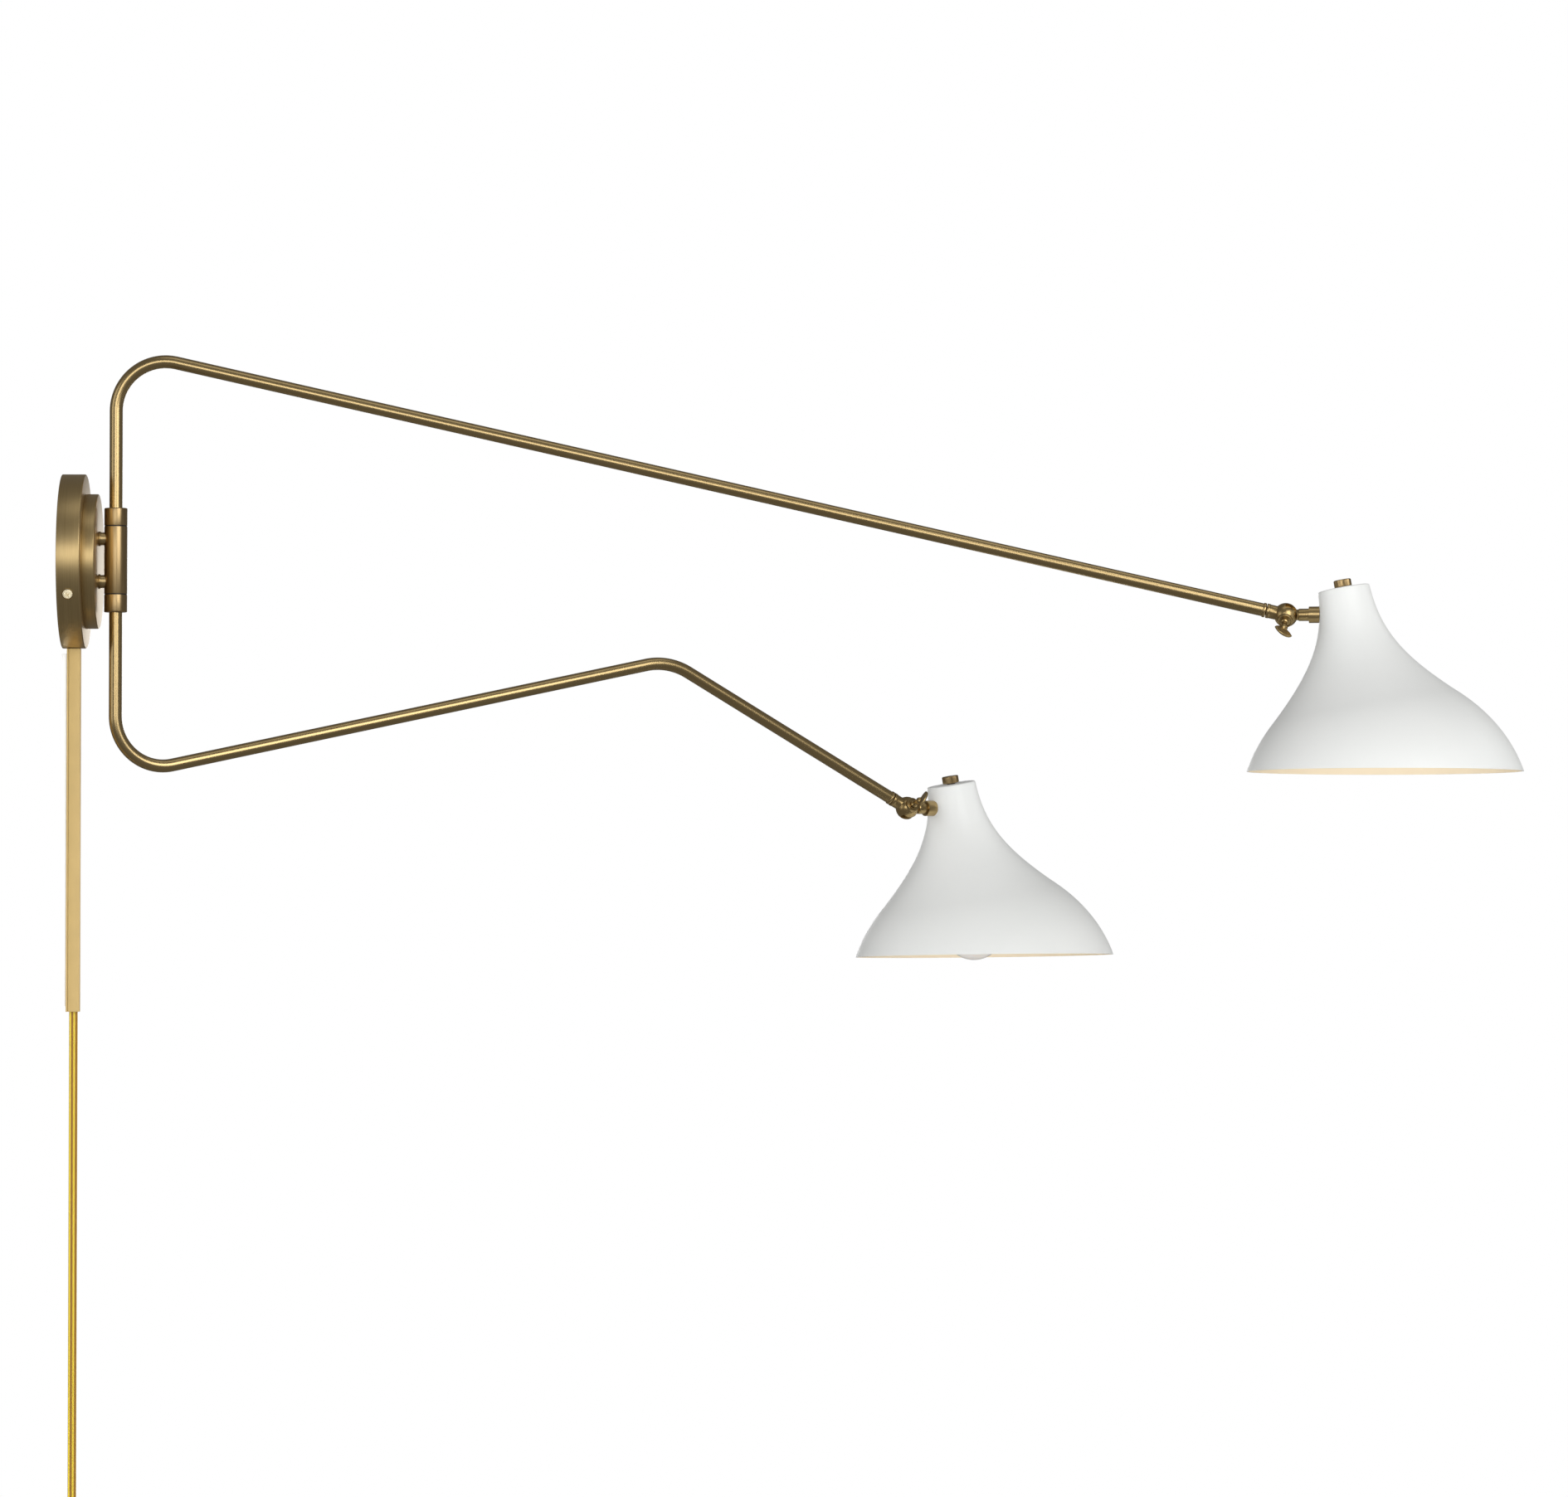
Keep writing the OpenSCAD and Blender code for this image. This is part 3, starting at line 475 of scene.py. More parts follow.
def finish_piece(obj, mats, body, replaces=()):
    """Gives a piece its materials, in the order of its faces' indices, and its place in the frame."""
    index = [p.material_index for p in obj.data.polygons]
    obj.data.materials.clear()
    for mat in mats if isinstance(mats, tuple) else (mats,):
        obj.data.materials.append(mat)
    obj.data.polygons.foreach_set("material_index", [min(i, len(obj.data.materials) - 1) for i in index])
    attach(obj, body)
    if replaces:
        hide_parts(*replaces)
    return obj


# ---------- the cord, from the strain relief to the plug ----------
CORD_W, CORD_T = 6.2 * MM, 3.2 * MM
CORD_X = 8.7 * MM
ROUTE = [(0, -57), (0, -100), (0, -145), (0, -190), (0, -235), (0, -280), (0, -325), (0, -370),
         (0, -415), (0, -460), (0, -505), (0, -550), (0, -595), (0, -640), (0, -680), (0, -692),
         (1, -699.8), (4, -707), (8.8, -713.2), (13, -716.7), (17, -719)]
COIL_Z, COIL_R, COIL_PITCH, COIL_STEP = -755.2 * MM, 40 * MM, 3.4 * MM, 6.5 * MM
COIL_START = 64.6                     # where the first turn begins, in degrees above level
COIL_TURNS = 5 + COIL_START / 360     # so that the last turn ends level
STEP_FROM, STEP_OVER = 2.34, 0.5      # the turns over which the cord steps to the second layer
TAIL = 30 * MM


def cord_path():
    """The route's points, then the coil's turns, inwards and out again on a second layer, then the tail."""
    path = [Vector((CORD_X, y * MM, z * MM)) for y, z in ROUTE]
    total = int(COIL_TURNS * 30)
    for k in range(1, total + 1):
        t = COIL_TURNS * k / total
        angle = math.radians(COIL_START - 360 * t)
        r = COIL_R - COIL_PITCH * min(t, COIL_TURNS - t)
        s = min(1, max(0, (t - STEP_FROM) / STEP_OVER))
        x = CORD_X + COIL_STEP * s * s * (3 - 2 * s)
        path.append(Vector((x, r * math.cos(angle), COIL_Z + r * math.sin(angle))))
    return path + [Vector((CORD_X + COIL_STEP, COIL_R, COIL_Z - TAIL * k / 6)) for k in range(1, 7)]


LOBE_STEPS = 16
LOBE_LIGHT_TURN = 3.4                     # how far the painted light's wave runs across a lobe's half, in radians


def cord_section():
    """Two round lobes joined by a web, as (thickness, width) points, and the painted light of each: bright on
    one side of a lobe, shaded on the other.
    """
    lobe, centre, web = CORD_T / 2, (CORD_W - CORD_T) / 2, 0.9 * MM
    points, painted_lobe_lights = [], []
    for side in (1, -1):
        for k in range(LOBE_STEPS + 1):
            w = side * (centre + lobe) * math.cos(math.pi * k / LOBE_STEPS)
            off = abs(w) - centre
            t = math.sqrt(max(lobe * lobe - off * off, 0))
            points.append((side * max(t, web if abs(w) < centre else 0), w))
            across_lobe = (w - math.copysign(centre, w)) / lobe
            painted_lobe_lights.append(0.5 - 0.5 * math.sin(across_lobe * LOBE_LIGHT_TURN))
    return points, painted_lobe_lights


def make_cord():
    """The cord's mesh, and the points of its centreline."""
    path = cord_path()
    points, painted_lobe_lights = cord_section()
    fine = [path[0]]
    for p, q in zip(path, path[1:]):
        parts = max(1, round((q - p).length / (12 * MM)))
        fine += [p.lerp(q, k / parts) for k in range(1, parts + 1)]
    cord = sweep("flat_cord", fine, points, X)
    # Each vertex carries its painted light: a painted highlight on one side of each lobe and painted shade on
    # the other.
    painted_lobe_light = cord.data.attributes.new("painted_lobe_light", "FLOAT", "POINT")
    painted_lobe_light.data.foreach_set("value", [painted_lobe_lights[i % len(painted_lobe_lights)] for i in range(len(cord.data.vertices))])
    finish_piece(cord, CORD, "wall_side", ("cord", "cord_coil", "cord_tail"))
    return cord, fine


def superellipse(w, t, steps=32, power=3.2):
    """A rounded rectangle's points, w wide and t thick."""
    out = []
    for k in range(steps):
        a = 2 * math.pi * k / steps
        c, s = math.cos(a), math.sin(a)
        x = math.copysign(abs(c) ** (2 / power), c) * w / 2
        out.append((x, math.copysign(abs(s) ** (2 / power), s) * t / 2))
    return out


def loft(name, centre, rings):
    """Stacks superellipses along Z: rings are (z, width along X, thickness along Y)."""
    bm = bmesh.new()
    layers = [[bm.verts.new(centre + Vector((x, y, z))) for x, y in superellipse(w, t)] for z, w, t in rings]
    for a, b in zip(layers, layers[1:]):
        for k in range(len(a)):
            k1 = (k + 1) % len(a)
            bm.faces.new([a[k], b[k], b[k1], a[k1]])
    bm.faces.new(layers[0])
    bm.faces.new(layers[-1][::-1])
    return new_object(name, bm)


def make_plug():
    """A moulded two-blade plug: a necked grip with shallow finger ribs, a flange and a flat face."""
    low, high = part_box("plug_body")
    centre = Vector(((low.x + high.x) / 2, (low.y + high.y) / 2, high.z))
    w, t, length = high.x - low.x, high.y - low.y, high.z - low.z
    rings = [(0, 0.36 * w, 0.44 * t), (-0.1 * MM, 0.42 * w, 0.5 * t)]
    for k in range(5):
        z = -(1.2 + 1.7 * k) * MM
        rings += [(z, (0.43 + 0.012 * k) * w, 0.53 * t), (z - 0.5 * MM, (0.47 + 0.012 * k) * w, 0.57 * t),
                  (z - 1.1 * MM, (0.47 + 0.012 * k) * w, 0.57 * t)]
    for k in range(9):
        f = k / 8
        z = -10 * MM - f * (length - 14.5 * MM)
        wide = w * (0.58 + 0.34 * (f * f * (3 - 2 * f)))
        rib = 0.6 * MM * (k % 2)
        rings += [(z, wide - rib, t * (0.66 + 0.26 * f) - rib)]
    rings += [(-length + 4 * MM, w * 0.93, t * 0.93), (-length + 3.6 * MM, w * 0.99, t * 0.99),
              (-length + 0.6 * MM, w, t), (-length + 0.15 * MM, w * 0.985, t * 0.97),
              (-length, w * 0.95, t * 0.92)]
    plug = sharpen(loft("plug_grip", centre, rings), 50)
    return finish_piece(plug, PLUG, "wall_side", ("plug_body",))


def make_tie():
    """A soft strap round the coil's bundle, as a closed loop."""
    out = Vector((0, math.cos(math.radians(40)), math.sin(math.radians(40))))
    along = X.cross(out)
    bundle = CORD_T + COIL_PITCH * COIL_TURNS / 2
    centre = Vector((CORD_X + COIL_STEP / 2, 0, COIL_Z)) + out * (COIL_R - COIL_PITCH * COIL_TURNS / 4)
    a, b = (CORD_W + COIL_STEP) / 2 + 0.7 * MM, bundle / 2 + 0.7 * MM
    corners = ((1, 1), (-1, 1), (-1, -1), (1, -1))
    loop = rounded([centre + X * (a * sx) + out * (b * sy) for sx, sy in corners], 3 * MM, 6, True)
    half_w, half_t = 2.4 * MM, 0.4 * MM
    section = [(p.x, p.y) for p in rounded([(-half_t, -half_w, 0), (half_t, -half_w, 0), (half_t, half_w, 0),
                                            (-half_t, half_w, 0)], 0.3 * MM, 2, True)]
    strap = sweep("tie_strap", loop + loop[:1], section, along)
    return finish_piece(strap, BLACK, "wall_side", ("coil_tie",))


cord, cord_line = make_cord()
plug = make_plug()
tie = make_tie()


# ---------- wall side ----------
CANOPY_D, CANOPY_H, STEP_D, STEP_H, SHEET = 127 * MM, 17.1 * MM, 98.2 * MM, 9.2 * MM, 1.2 * MM
HUB = Vector(JOINTS["upper_arm_swing"]["pos_m"])
hub_low, hub_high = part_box("hub")
HUB_R = (hub_high.y - hub_low.y) / 2
SCREW_ANGLE = 24.9
SCREW_X = 8.2 * MM


def cup_profile(d, h, base):
    """The profile of a pressed cup, open at its back."""
    r = d / 2
    points = [(0, h), (r, h), (r, 0), (r - SHEET, 0), (r - SHEET, h - SHEET), (0, h - SHEET)]
    return [(p.x, p.y + base) for p in rounded([(a, b, 0) for a, b in points],
                                              [0, 0.9 * MM, 0.3 * MM, 0.3 * MM, 0.5 * MM, 0], 5)]


def make_disc(name, node, d, h, base):
    """One of the two brass discs. The canopy's side has the screws' recesses."""
    disc = lathe(name, cup_profile(d, h, base), Vector(), X, 192)
    if node == "canopy":
        for spin in (SCREW_ANGLE, SCREW_ANGLE + 180):
            out = Matrix.Rotation(math.radians(spin), 3, "X") @ -Y
            tool = lathe("tool", [(0, -0.8 * MM), (4.3 * MM, -0.8 * MM), (4.3 * MM, 2 * MM), (0, 2 * MM)],
                         out * (d / 2) + X * SCREW_X, out, 40)
            combine(disc, tool, "DIFFERENCE")
        for p in disc.data.polygons:
            p.use_smooth = True
    return finish_piece(sharpen(disc, 40), DISC_BRASS, "wall_side", (node,))


def make_side_screws():
    """Pan heads with a cross recess, sunk a little in the disc's side."""
    screws = []
    for spin in (SCREW_ANGLE, SCREW_ANGLE + 180):
        out = Matrix.Rotation(math.radians(spin), 3, "X") @ -Y
        seat = out * (CANOPY_D / 2) + X * SCREW_X
        head = lathe("head", rod_profile([(0, -5 * MM), (1.75 * MM, -5 * MM), (1.75 * MM, -0.8 * MM),
                                          (3.5 * MM, -0.8 * MM), (3.5 * MM, 0.5 * MM), (2.6 * MM, 1.3 * MM),
                                          (0, 1.45 * MM)], 0.3 * MM), seat, out, 48)
        for turn in (30, 120):
            side = Matrix.Rotation(math.radians(turn), 3, out) @ X
            slot = block("slot", (3.4 * MM, 0.75 * MM, 1.6 * MM),
                         frame_matrix(seat + out * 1.3 * MM, side, out.cross(side), out))
            combine(head, slot, "DIFFERENCE")
        screws.append(sharpen(head, 30))
    obj = join("side_screw_heads", screws)
    return finish_piece(sharpen(obj, 30), SCREW_HEAD, "wall_side", ("side_screws",))


def make_standoffs():
    """Posts from the step disc to the hub, each with a turned foot and a soft saddle."""
    posts = []
    for sign in (-1, 1):
        z = HUB.z + sign * 15.6 * MM
        face, foot, saddle = CANOPY_H + STEP_H, 1.2 * MM, HUB.x - HUB_R + 2.2 * MM
        points = [(0, 12 * MM), (3.5 * MM, 12 * MM), (3.5 * MM, face), (5.4 * MM, face),
                  (5.4 * MM, face + foot), (4.75 * MM, face + foot), (4.75 * MM, saddle), (0, saddle)]
        posts.append(lathe("post", rod_profile(points, 0.35 * MM), Vector((0, 0, z)), X, 64))
    obj = join("turned_standoffs", posts)
    return finish_piece(sharpen(obj, 40), TURNED_BRASS, "wall_side", ("standoffs",))


make_disc("canopy_shell", "canopy", CANOPY_D, CANOPY_H, 0)
make_disc("step_shell", "canopy_step", STEP_D, STEP_H, CANOPY_H)
make_side_screws()
make_standoffs()
barrel = lathe("hub_barrel", ring_profile(HUB_R, 7 * MM, hub_low.z, hub_high.z, 0.35 * MM),
               Vector((HUB.x, HUB.y, 0)), Z, 96)
finish_piece(sharpen(barrel, 40), KNOB_BRASS, "wall_side", ("hub",))


def make_cover():
    """A snap-on cord cover: a base strip against the wall tape, and a lid with soft edges."""
    low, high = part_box("cord_cover")
    mid, length = (low + high) / 2, high.z - low.z
    base_t = 1.3 * MM
    lid = block("cord_cover_lid", (high.x - low.x - base_t - 0.15 * MM, high.y - low.y, length),
                Matrix.Translation((mid.x + (base_t + 0.15 * MM) / 2, mid.y, mid.z)))
    hollow = block("hollow", (high.x - low.x - base_t - 0.8 * MM, high.y - low.y - 2 * MM, length * 1.1),
                   Matrix.Translation((mid.x + (base_t - 0.8 * MM) / 2 - 0.4 * MM, mid.y, mid.z)))
    combine(lid, hollow, "DIFFERENCE")
    soften(lid, 0.7 * MM, 3)
    base = soften(block("cord_cover_base", (base_t, high.y - low.y - 0.4 * MM, length),
                        Matrix.Translation((low.x + base_t / 2, mid.y, mid.z))), 0.25 * MM)
    finish_piece(lid, COVER, "wall_side", ("cord_cover",))
    finish_piece(base, COVER, "wall_side")


make_cover()


# ---------- arms ----------
TUBE_R, TUBE_BORE = 9.525 * MM / 2, (9.525 / 2 - 0.9) * MM
BEND_R, ELBOW_R, LOWER_CLIMB, LOWER_LAST = 36 * MM, 50 * MM, math.radians(12), 209 * MM
SLEEVE, GAP, FLANGE = 14.5 * MM, 0.3 * MM, 2.4 * MM


def arm_line(side, ball, tube_dir):
    """The arm's corners: up or down from the hub, and along to the knuckle."""
    flat = Vector((tube_dir.x, tube_dir.y, 0)).normalized()
    end = ball - tube_dir * (SLEEVE + GAP + FLANGE)
    collar_low, collar_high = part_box(side + "_collar")
    axis = Vector((HUB.x, HUB.y, 0))
    if side == "upper":
        start = axis + Z * (collar_high.z - 9 * MM)
        corner = ball - tube_dir * ((ball - axis).dot(flat) / tube_dir.dot(flat))
        return [start, corner, end], [0, BEND_R, 0]
    start = axis + Z * (collar_low.z + 9 * MM)
    fall = math.asin(-tube_dir.z)
    elbow = ball - tube_dir * (LOWER_LAST + ELBOW_R * math.tan((fall + LOWER_CLIMB) / 2))
    climb = flat * math.cos(LOWER_CLIMB) + Z * math.sin(LOWER_CLIMB)
    corner = elbow - climb * ((elbow - axis).dot(flat) / climb.dot(flat))
    return [start, corner, elbow, end], [0, BEND_R, ELBOW_R, 0]


def make_arm(side, ball, tube_dir):
    """The bent tube, the collar with its journal, and the fitting at the tube's end."""
    corners, radii = arm_line(side, ball, tube_dir)
    path = []
    bent = rounded(corners, radii, 36)
    for p, q in zip(bent, bent[1:]):
        parts = max(1, round((q - p).length / (30 * MM)))
        path += [p.lerp(q, k / parts) for k in range(parts)]
    path.append(bent[-1])
    flat = Vector((tube_dir.x, tube_dir.y, 0)).normalized()
    tube = sweep(side + "_tube", path, circle(TUBE_R, 56), flat.cross(Z))
    body = side + "_arm"
    finish_piece(sharpen(tube, 60), TUBE_BRASS, body, (side + "_arm_tube",))
    low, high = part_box(side + "_collar")
    sign = 1 if side == "upper" else -1
    near, far = (HUB.z + sign * (49.2 / 2 + 0.6) * MM), (high.z if sign > 0 else low.z)
    bore = TUBE_R - 0.1 * MM
    axis = Vector((HUB.x, HUB.y, 0))
    profile = rounded([(HUB_R, near, 0), (HUB_R, far, 0), (bore, far, 0), (bore, near, 0)],
                      [0.3 * MM, 0.7 * MM, 0.1 * MM, 0.1 * MM], 4, True)
    collar = lathe(side + "_collar_ring", [(p.x, p.y) for p in profile + profile[:1]], axis, Z)
    sleeve = ring_profile(TUBE_R, TUBE_BORE - 0.8 * MM, HUB.z + sign * 17 * MM, near, 0.2 * MM)
    journal = lathe("journal", sleeve, axis, Z, 64)
    collar = join(side + "_collar_ring", [collar, journal])
    finish_piece(sharpen(collar, 40), KNOB_BRASS, body, (side + "_collar",))
    at = SLEEVE + GAP
    wide, inner = TUBE_R + 0.55 * MM, TUBE_BORE - 0.7 * MM
    fitting = rounded([(wide, at, 0), (wide, at + FLANGE, 0), (TUBE_BORE, at + FLANGE, 0),
                       (TUBE_BORE, at + 13 * MM, 0), (inner, at + 13 * MM, 0), (inner, at, 0)],
                      [0.9 * MM, 0.9 * MM, 0, 0.1 * MM, 0.1 * MM, 0.2 * MM], 5, True)
    ring = lathe(side + "_end_ring", [(p.x, p.y) for p in fitting + fitting[:1]], ball, -tube_dir, 72)
    finish_piece(sharpen(ring, 40), TURNED_BRASS, body, (side + "_end_fitting",))


# ---------- knuckle, thumbscrew and stem ----------
BALL_R, SLOT_W, TONGUE_W, SCREW_R = 8.75 * MM, 4.6 * MM, 4 * MM, 2 * MM
STEM_R, STEM_START, STEM_END = 4.5 * MM, 9.25 * MM, 17 * MM
WING = {"upper": -22, "lower": 85}
WING_AT, WING_LEN, WING_H, WING_T = 23 * MM, 14.5 * MM, 9 * MM, 1.7 * MM


def make_knuckle(side, ball, tube_dir, screw_dir):
    """The slotted ball with its neck, its spigot in the arm's fitting, and a boss under the thumbscrew."""
    up = screw_dir.cross(tube_dir)
    neck_r, lip_r, spigot_r, spigot_end = TUBE_R + 0.3 * MM, TUBE_R + 0.55 * MM, 3.05 * MM, SLEEVE + 11 * MM
    points = [(0, -4 * MM), (neck_r, -4 * MM), (neck_r, SLEEVE - 2.6 * MM), (lip_r, SLEEVE - 2.1 * MM),
              (lip_r, SLEEVE), (spigot_r, SLEEVE), (spigot_r, spigot_end), (0, spigot_end)]
    rod = lathe("knuckle", rod_profile(points, 0.35 * MM), ball, -tube_dir, 72)
    globe = [(BALL_R * math.sin(math.pi * k / 40), -BALL_R * math.cos(math.pi * k / 40)) for k in range(41)]
    globe[0], globe[-1] = (0, -BALL_R), (0, BALL_R)
    sphere = lathe("ball", globe, ball, screw_dir, 80)
    knuckle = combine(sphere, rod, "UNION")
    boss_top = BALL_R + 0.4 * MM
    boss = lathe("boss", rod_profile([(0, 0), (5.4 * MM, 0), (5.4 * MM, boss_top), (0, boss_top)], 0.35 * MM),
                 ball, screw_dir, 72)
    combine(knuckle, boss, "UNION")
    groove = lathe("groove", ring_profile(4.5 * MM, 3.7 * MM, BALL_R - 0.25 * MM, BALL_R + 2 * MM, 0.05 * MM),
                   ball, screw_dir, 64)
    combine(knuckle, groove, "DIFFERENCE")
    mouth = block("mouth", (22 * MM, SLOT_W, 24 * MM),
                  frame_matrix(ball + tube_dir * 9 * MM, tube_dir, screw_dir, up))
    combine(knuckle, mouth, "DIFFERENCE")
    hole_r, reach = SCREW_R + 0.05 * MM, BALL_R * 2
    hole = lathe("hole", [(0, -reach), (hole_r, -reach), (hole_r, reach), (0, reach)], ball, screw_dir, 48)
    combine(knuckle, hole, "DIFFERENCE")
    knuckle.name = side + "_knuckle_ball"
    soften(knuckle, 0.22 * MM, 2, 40)
    finish_piece(knuckle, CAST_BRASS, side + "_knuckle_body", (side + "_knuckle",))


def make_thumbscrew(side, ball, tube_dir, screw_dir):
    """A shank with a lens-shaped wing, dished on both faces."""
    up = screw_dir.cross(tube_dir)
    seat = BALL_R + 0.4 * MM + GAP
    shank = [(0, -BALL_R + 1.5 * MM), (SCREW_R, -BALL_R + 1.5 * MM), (SCREW_R, seat), (2.8 * MM, seat),
             (2.8 * MM, seat + 1.2 * MM), (SCREW_R, seat + 1.9 * MM), (1.9 * MM, seat + 5 * MM),
             (2.8 * MM, seat + 8 * MM), (2.3 * MM, seat + 10 * MM), (0, seat + 11.5 * MM)]
    screw = lathe("shank", rod_profile(shank, 0.4 * MM, 4), ball, screw_dir, 56)
    spin = math.radians(WING[side])
    long_axis = tube_dir * math.cos(spin) + up * math.sin(spin)
    thin = screw_dir.cross(long_axis)
    arc_r = (WING_LEN ** 2 + WING_H ** 2) / (4 * WING_H)
    half = math.asin(WING_LEN / 2 / arc_r)
    outline = []
    for sign in (1, -1):
        for k in range(14):
            a = -half + 2 * half * k / 14
            outline.append((sign * arc_r * math.sin(a), sign * (arc_r * math.cos(a) - arc_r + WING_H / 2)))
    bm = bmesh.new()
    layers = []
    for off, inset in ((-0.5, 0.90), (-0.36, 0.975), (0, 1.0), (0.36, 0.975), (0.5, 0.90)):
        layers.append([bm.verts.new(ball + screw_dir * (WING_AT + y * inset) + long_axis * (x * inset)
                                    + thin * (off * WING_T)) for x, y in outline])
    for a, b in zip(layers, layers[1:]):
        for k in range(len(a)):
            k1 = (k + 1) % len(a)
            bm.faces.new([a[k], b[k], b[k1], a[k1]])
    for layer, off in ((layers[0], -0.5), (layers[-1], 0.5)):
        dish = [bm.verts.new(ball + screw_dir * (WING_AT + y * 0.62) + long_axis * (x * 0.62)
                             + thin * (off * WING_T * 0.8)) for x, y in outline]
        for k in range(len(layer)):
            k1 = (k + 1) % len(layer)
            bm.faces.new([layer[k], layer[k1], dish[k1], dish[k]])
        bm.faces.new(dish)
    wing = new_object("wing", bm)
    screw = combine(screw, wing, "UNION")
    screw.name = side + "_wing_screw"
    for p in screw.data.polygons:
        p.use_smooth = True
    finish_piece(sharpen(screw, 50), CAST_BRASS, side + "_screw_body", (side + "_thumbscrew",))


def make_stem(side, ball, stem_dir, screw_dir):
    """The tongue in the ball's slot, the round stem, and the nipple that goes into the shade."""
    up = screw_dir.cross(stem_dir)
    nipple_r, nipple_end = 3.9 * MM, 32.2 * MM
    points = [(0, STEM_START), (STEM_R - 0.3 * MM, STEM_START), (STEM_R, STEM_START + 0.8 * MM),
              (STEM_R, STEM_END), (nipple_r, STEM_END), (nipple_r, nipple_end), (0, nipple_end)]
    stem = lathe("stem", rod_profile(points, 0.25 * MM), ball, stem_dir, 64)
    tongue = block("tongue", (10 * MM, TONGUE_W, 6.8 * MM),
                   frame_matrix(ball + stem_dir * 5 * MM, stem_dir, screw_dir, up))
    combine(stem, tongue, "UNION")
    eye_r, half = 6.4 * MM, TONGUE_W / 2
    eye = lathe("eye", [(0, -half), (eye_r, -half), (eye_r, half), (0, half)], ball, screw_dir, 64)
    combine(stem, eye, "UNION")
    hole_r, reach = SCREW_R + 0.3 * MM, 5 * MM
    hole = lathe("hole", [(0, -reach), (hole_r, -reach), (hole_r, reach), (0, reach)], ball, screw_dir, 40)
    combine(stem, hole, "DIFFERENCE")
    stem.name = side + "_stem_rod"
    soften(stem, 0.15 * MM, 2, 40)
    finish_piece(stem, CAST_BRASS, side + "_lamp", (side + "_stem",))


# ---------- shade ----------
NECK = ((18.8, 0), (20.5, 35), (34, 56), (65.5, 86))        # (radius, depth) in mm
SKIRT = ((65.5, 86), (88, 106), (101.5, 130), (105, 157))
SHADE_T = 1.2 * MM
LEAN = math.radians(10)


def on_curve(c, t, inset=0.0):
    """A point on one of the outline's curves, moved inwards by a distance."""
    k = ((1 - t) ** 3, 3 * (1 - t) ** 2 * t, 3 * (1 - t) * t * t, t ** 3)
    p = Vector((sum(w * q[0] for w, q in zip(k, c)), sum(w * q[1] for w, q in zip(k, c)))) * MM
    d = (3 * (1 - t) ** 2, 6 * (1 - t) * t, 3 * t * t)
    v = Vector((sum(w * (b[0] - a[0]) for w, a, b in zip(d, c, c[1:])),
                sum(w * (b[1] - a[1]) for w, a, b in zip(d, c, c[1:])))).normalized()
    return p + Vector((-v.y, v.x)) * inset


def meridian(inset, cut, neck_steps=26, skirt_steps=26):
    """Points from the neck's top to the rim. cut(point) is above 0 past the rim's plane."""
    points = [on_curve(NECK, k / neck_steps, inset) for k in range(neck_steps)]
    low, high = 0.0, 1.0
    for _ in range(40):
        mid = (low + high) / 2
        low, high = (low, mid) if cut(on_curve(SKIRT, mid, inset)) > 0 else (mid, high)
    return points + [on_curve(SKIRT, low * k / skirt_steps, inset) for k in range(skirt_steps + 1)]


def make_shade(side, top, axis, level, drop, turns=160):
    """A spun shade, white outside and cream inside, where the cream also holds a lit bulb's warm light as
    painted light, cut square to level, a drop below its top's centre.
    """
    u, v = across(axis)
    bm = bmesh.new()
    uv = add_uv(bm)
    lines = []
    for k in range(turns):
        a = 2 * math.pi * k / turns
        out = u * math.cos(a) + v * math.sin(a)

        def place(p):
            return top - axis * p.y + out * p.x

        def past(p):
            return (top - place(p)).dot(level) - drop

        outer = meridian(0, past)
        inner = meridian(SHADE_T, past)
        first = [Vector((3.4 * MM, 0))] + [Vector((x * MM, 0)) for x in (10, 16.6)]
        edge = [outer[0] + Vector((-1.1 * MM + 1.1 * MM * math.sin(b), 1.1 * MM - 1.1 * MM * math.cos(b)))
                for b in (math.radians(d) for d in (15, 40, 65, 88))]
        rim = [outer[-1] * 0.75 + inner[-1] * 0.25, outer[-1] * 0.25 + inner[-1] * 0.75]
        inside = [p for p in inner[::-1] if p.y > SHADE_T + 0.6 * MM]
        last = [Vector((inside[-1].x - 0.5 * MM, SHADE_T + 0.1 * MM)), Vector((10 * MM, SHADE_T)),
                Vector((3.4 * MM, SHADE_T))]
        wall = [p for p in outer[1:] if p.y > SHADE_T]
        line = first + edge + wall + rim + inside + last
        lines.append([bm.verts.new(place(p)) for p in line])
    white_rows = len(first) + len(edge) + len(wall) + 1
    rows = len(lines[0])
    for k in range(turns):
        a, b = lines[k], lines[(k + 1) % turns]
        for i in range(rows):
            j = (i + 1) % rows
            face = bm.faces.new([a[i], a[j], b[j], b[i]])
            face.material_index = 0 if i < white_rows or i == rows - 1 else 1
            for loop, (s, t) in zip(face.loops, ((k, i), (k, i + 1), (k + 1, i + 1), (k + 1, i))):
                loop[uv].uv = (s * 0.004, t * 0.005)
    shade = sharpen(new_object(side + "_spun_shade", bm), 50)
    return finish_piece(shade, (WHITE, CREAM_AND_PAINTED_GLOW), side + "_lamp", (side + "_shade",))


def make_knob(side, top, axis):
    """A short knurled knob with softened ends."""
    r, low, high = 6.35 * MM, 0.7 * MM, 6.2 * MM
    profile = rod_profile([(0, low), (r - 0.4 * MM, low), (r, low + 0.5 * MM), (r, high - 0.5 * MM),
                           (r - 0.5 * MM, high), (0, high - 0.25 * MM)], 0.3 * MM)
    teeth = 54
    knob = lathe(side + "_knurled_knob", profile, top, axis, teeth * 4)
    u, v = across(axis)
    for vert in knob.data.vertices:
        p = vert.co - top
        h = p.dot(axis)
        out = p - axis * h
        if out.length > r * 0.985:
            a = math.atan2(out.dot(v), out.dot(u))
            vert.co -= out.normalized() * 0.16 * MM * (0.5 - 0.5 * math.cos(teeth * a))
    finish_piece(sharpen(knob, 40), KNOB_BRASS, side + "_knob_body", (side + "_knob",))


BULB_TIP = {"upper": 130, "lower": 138}


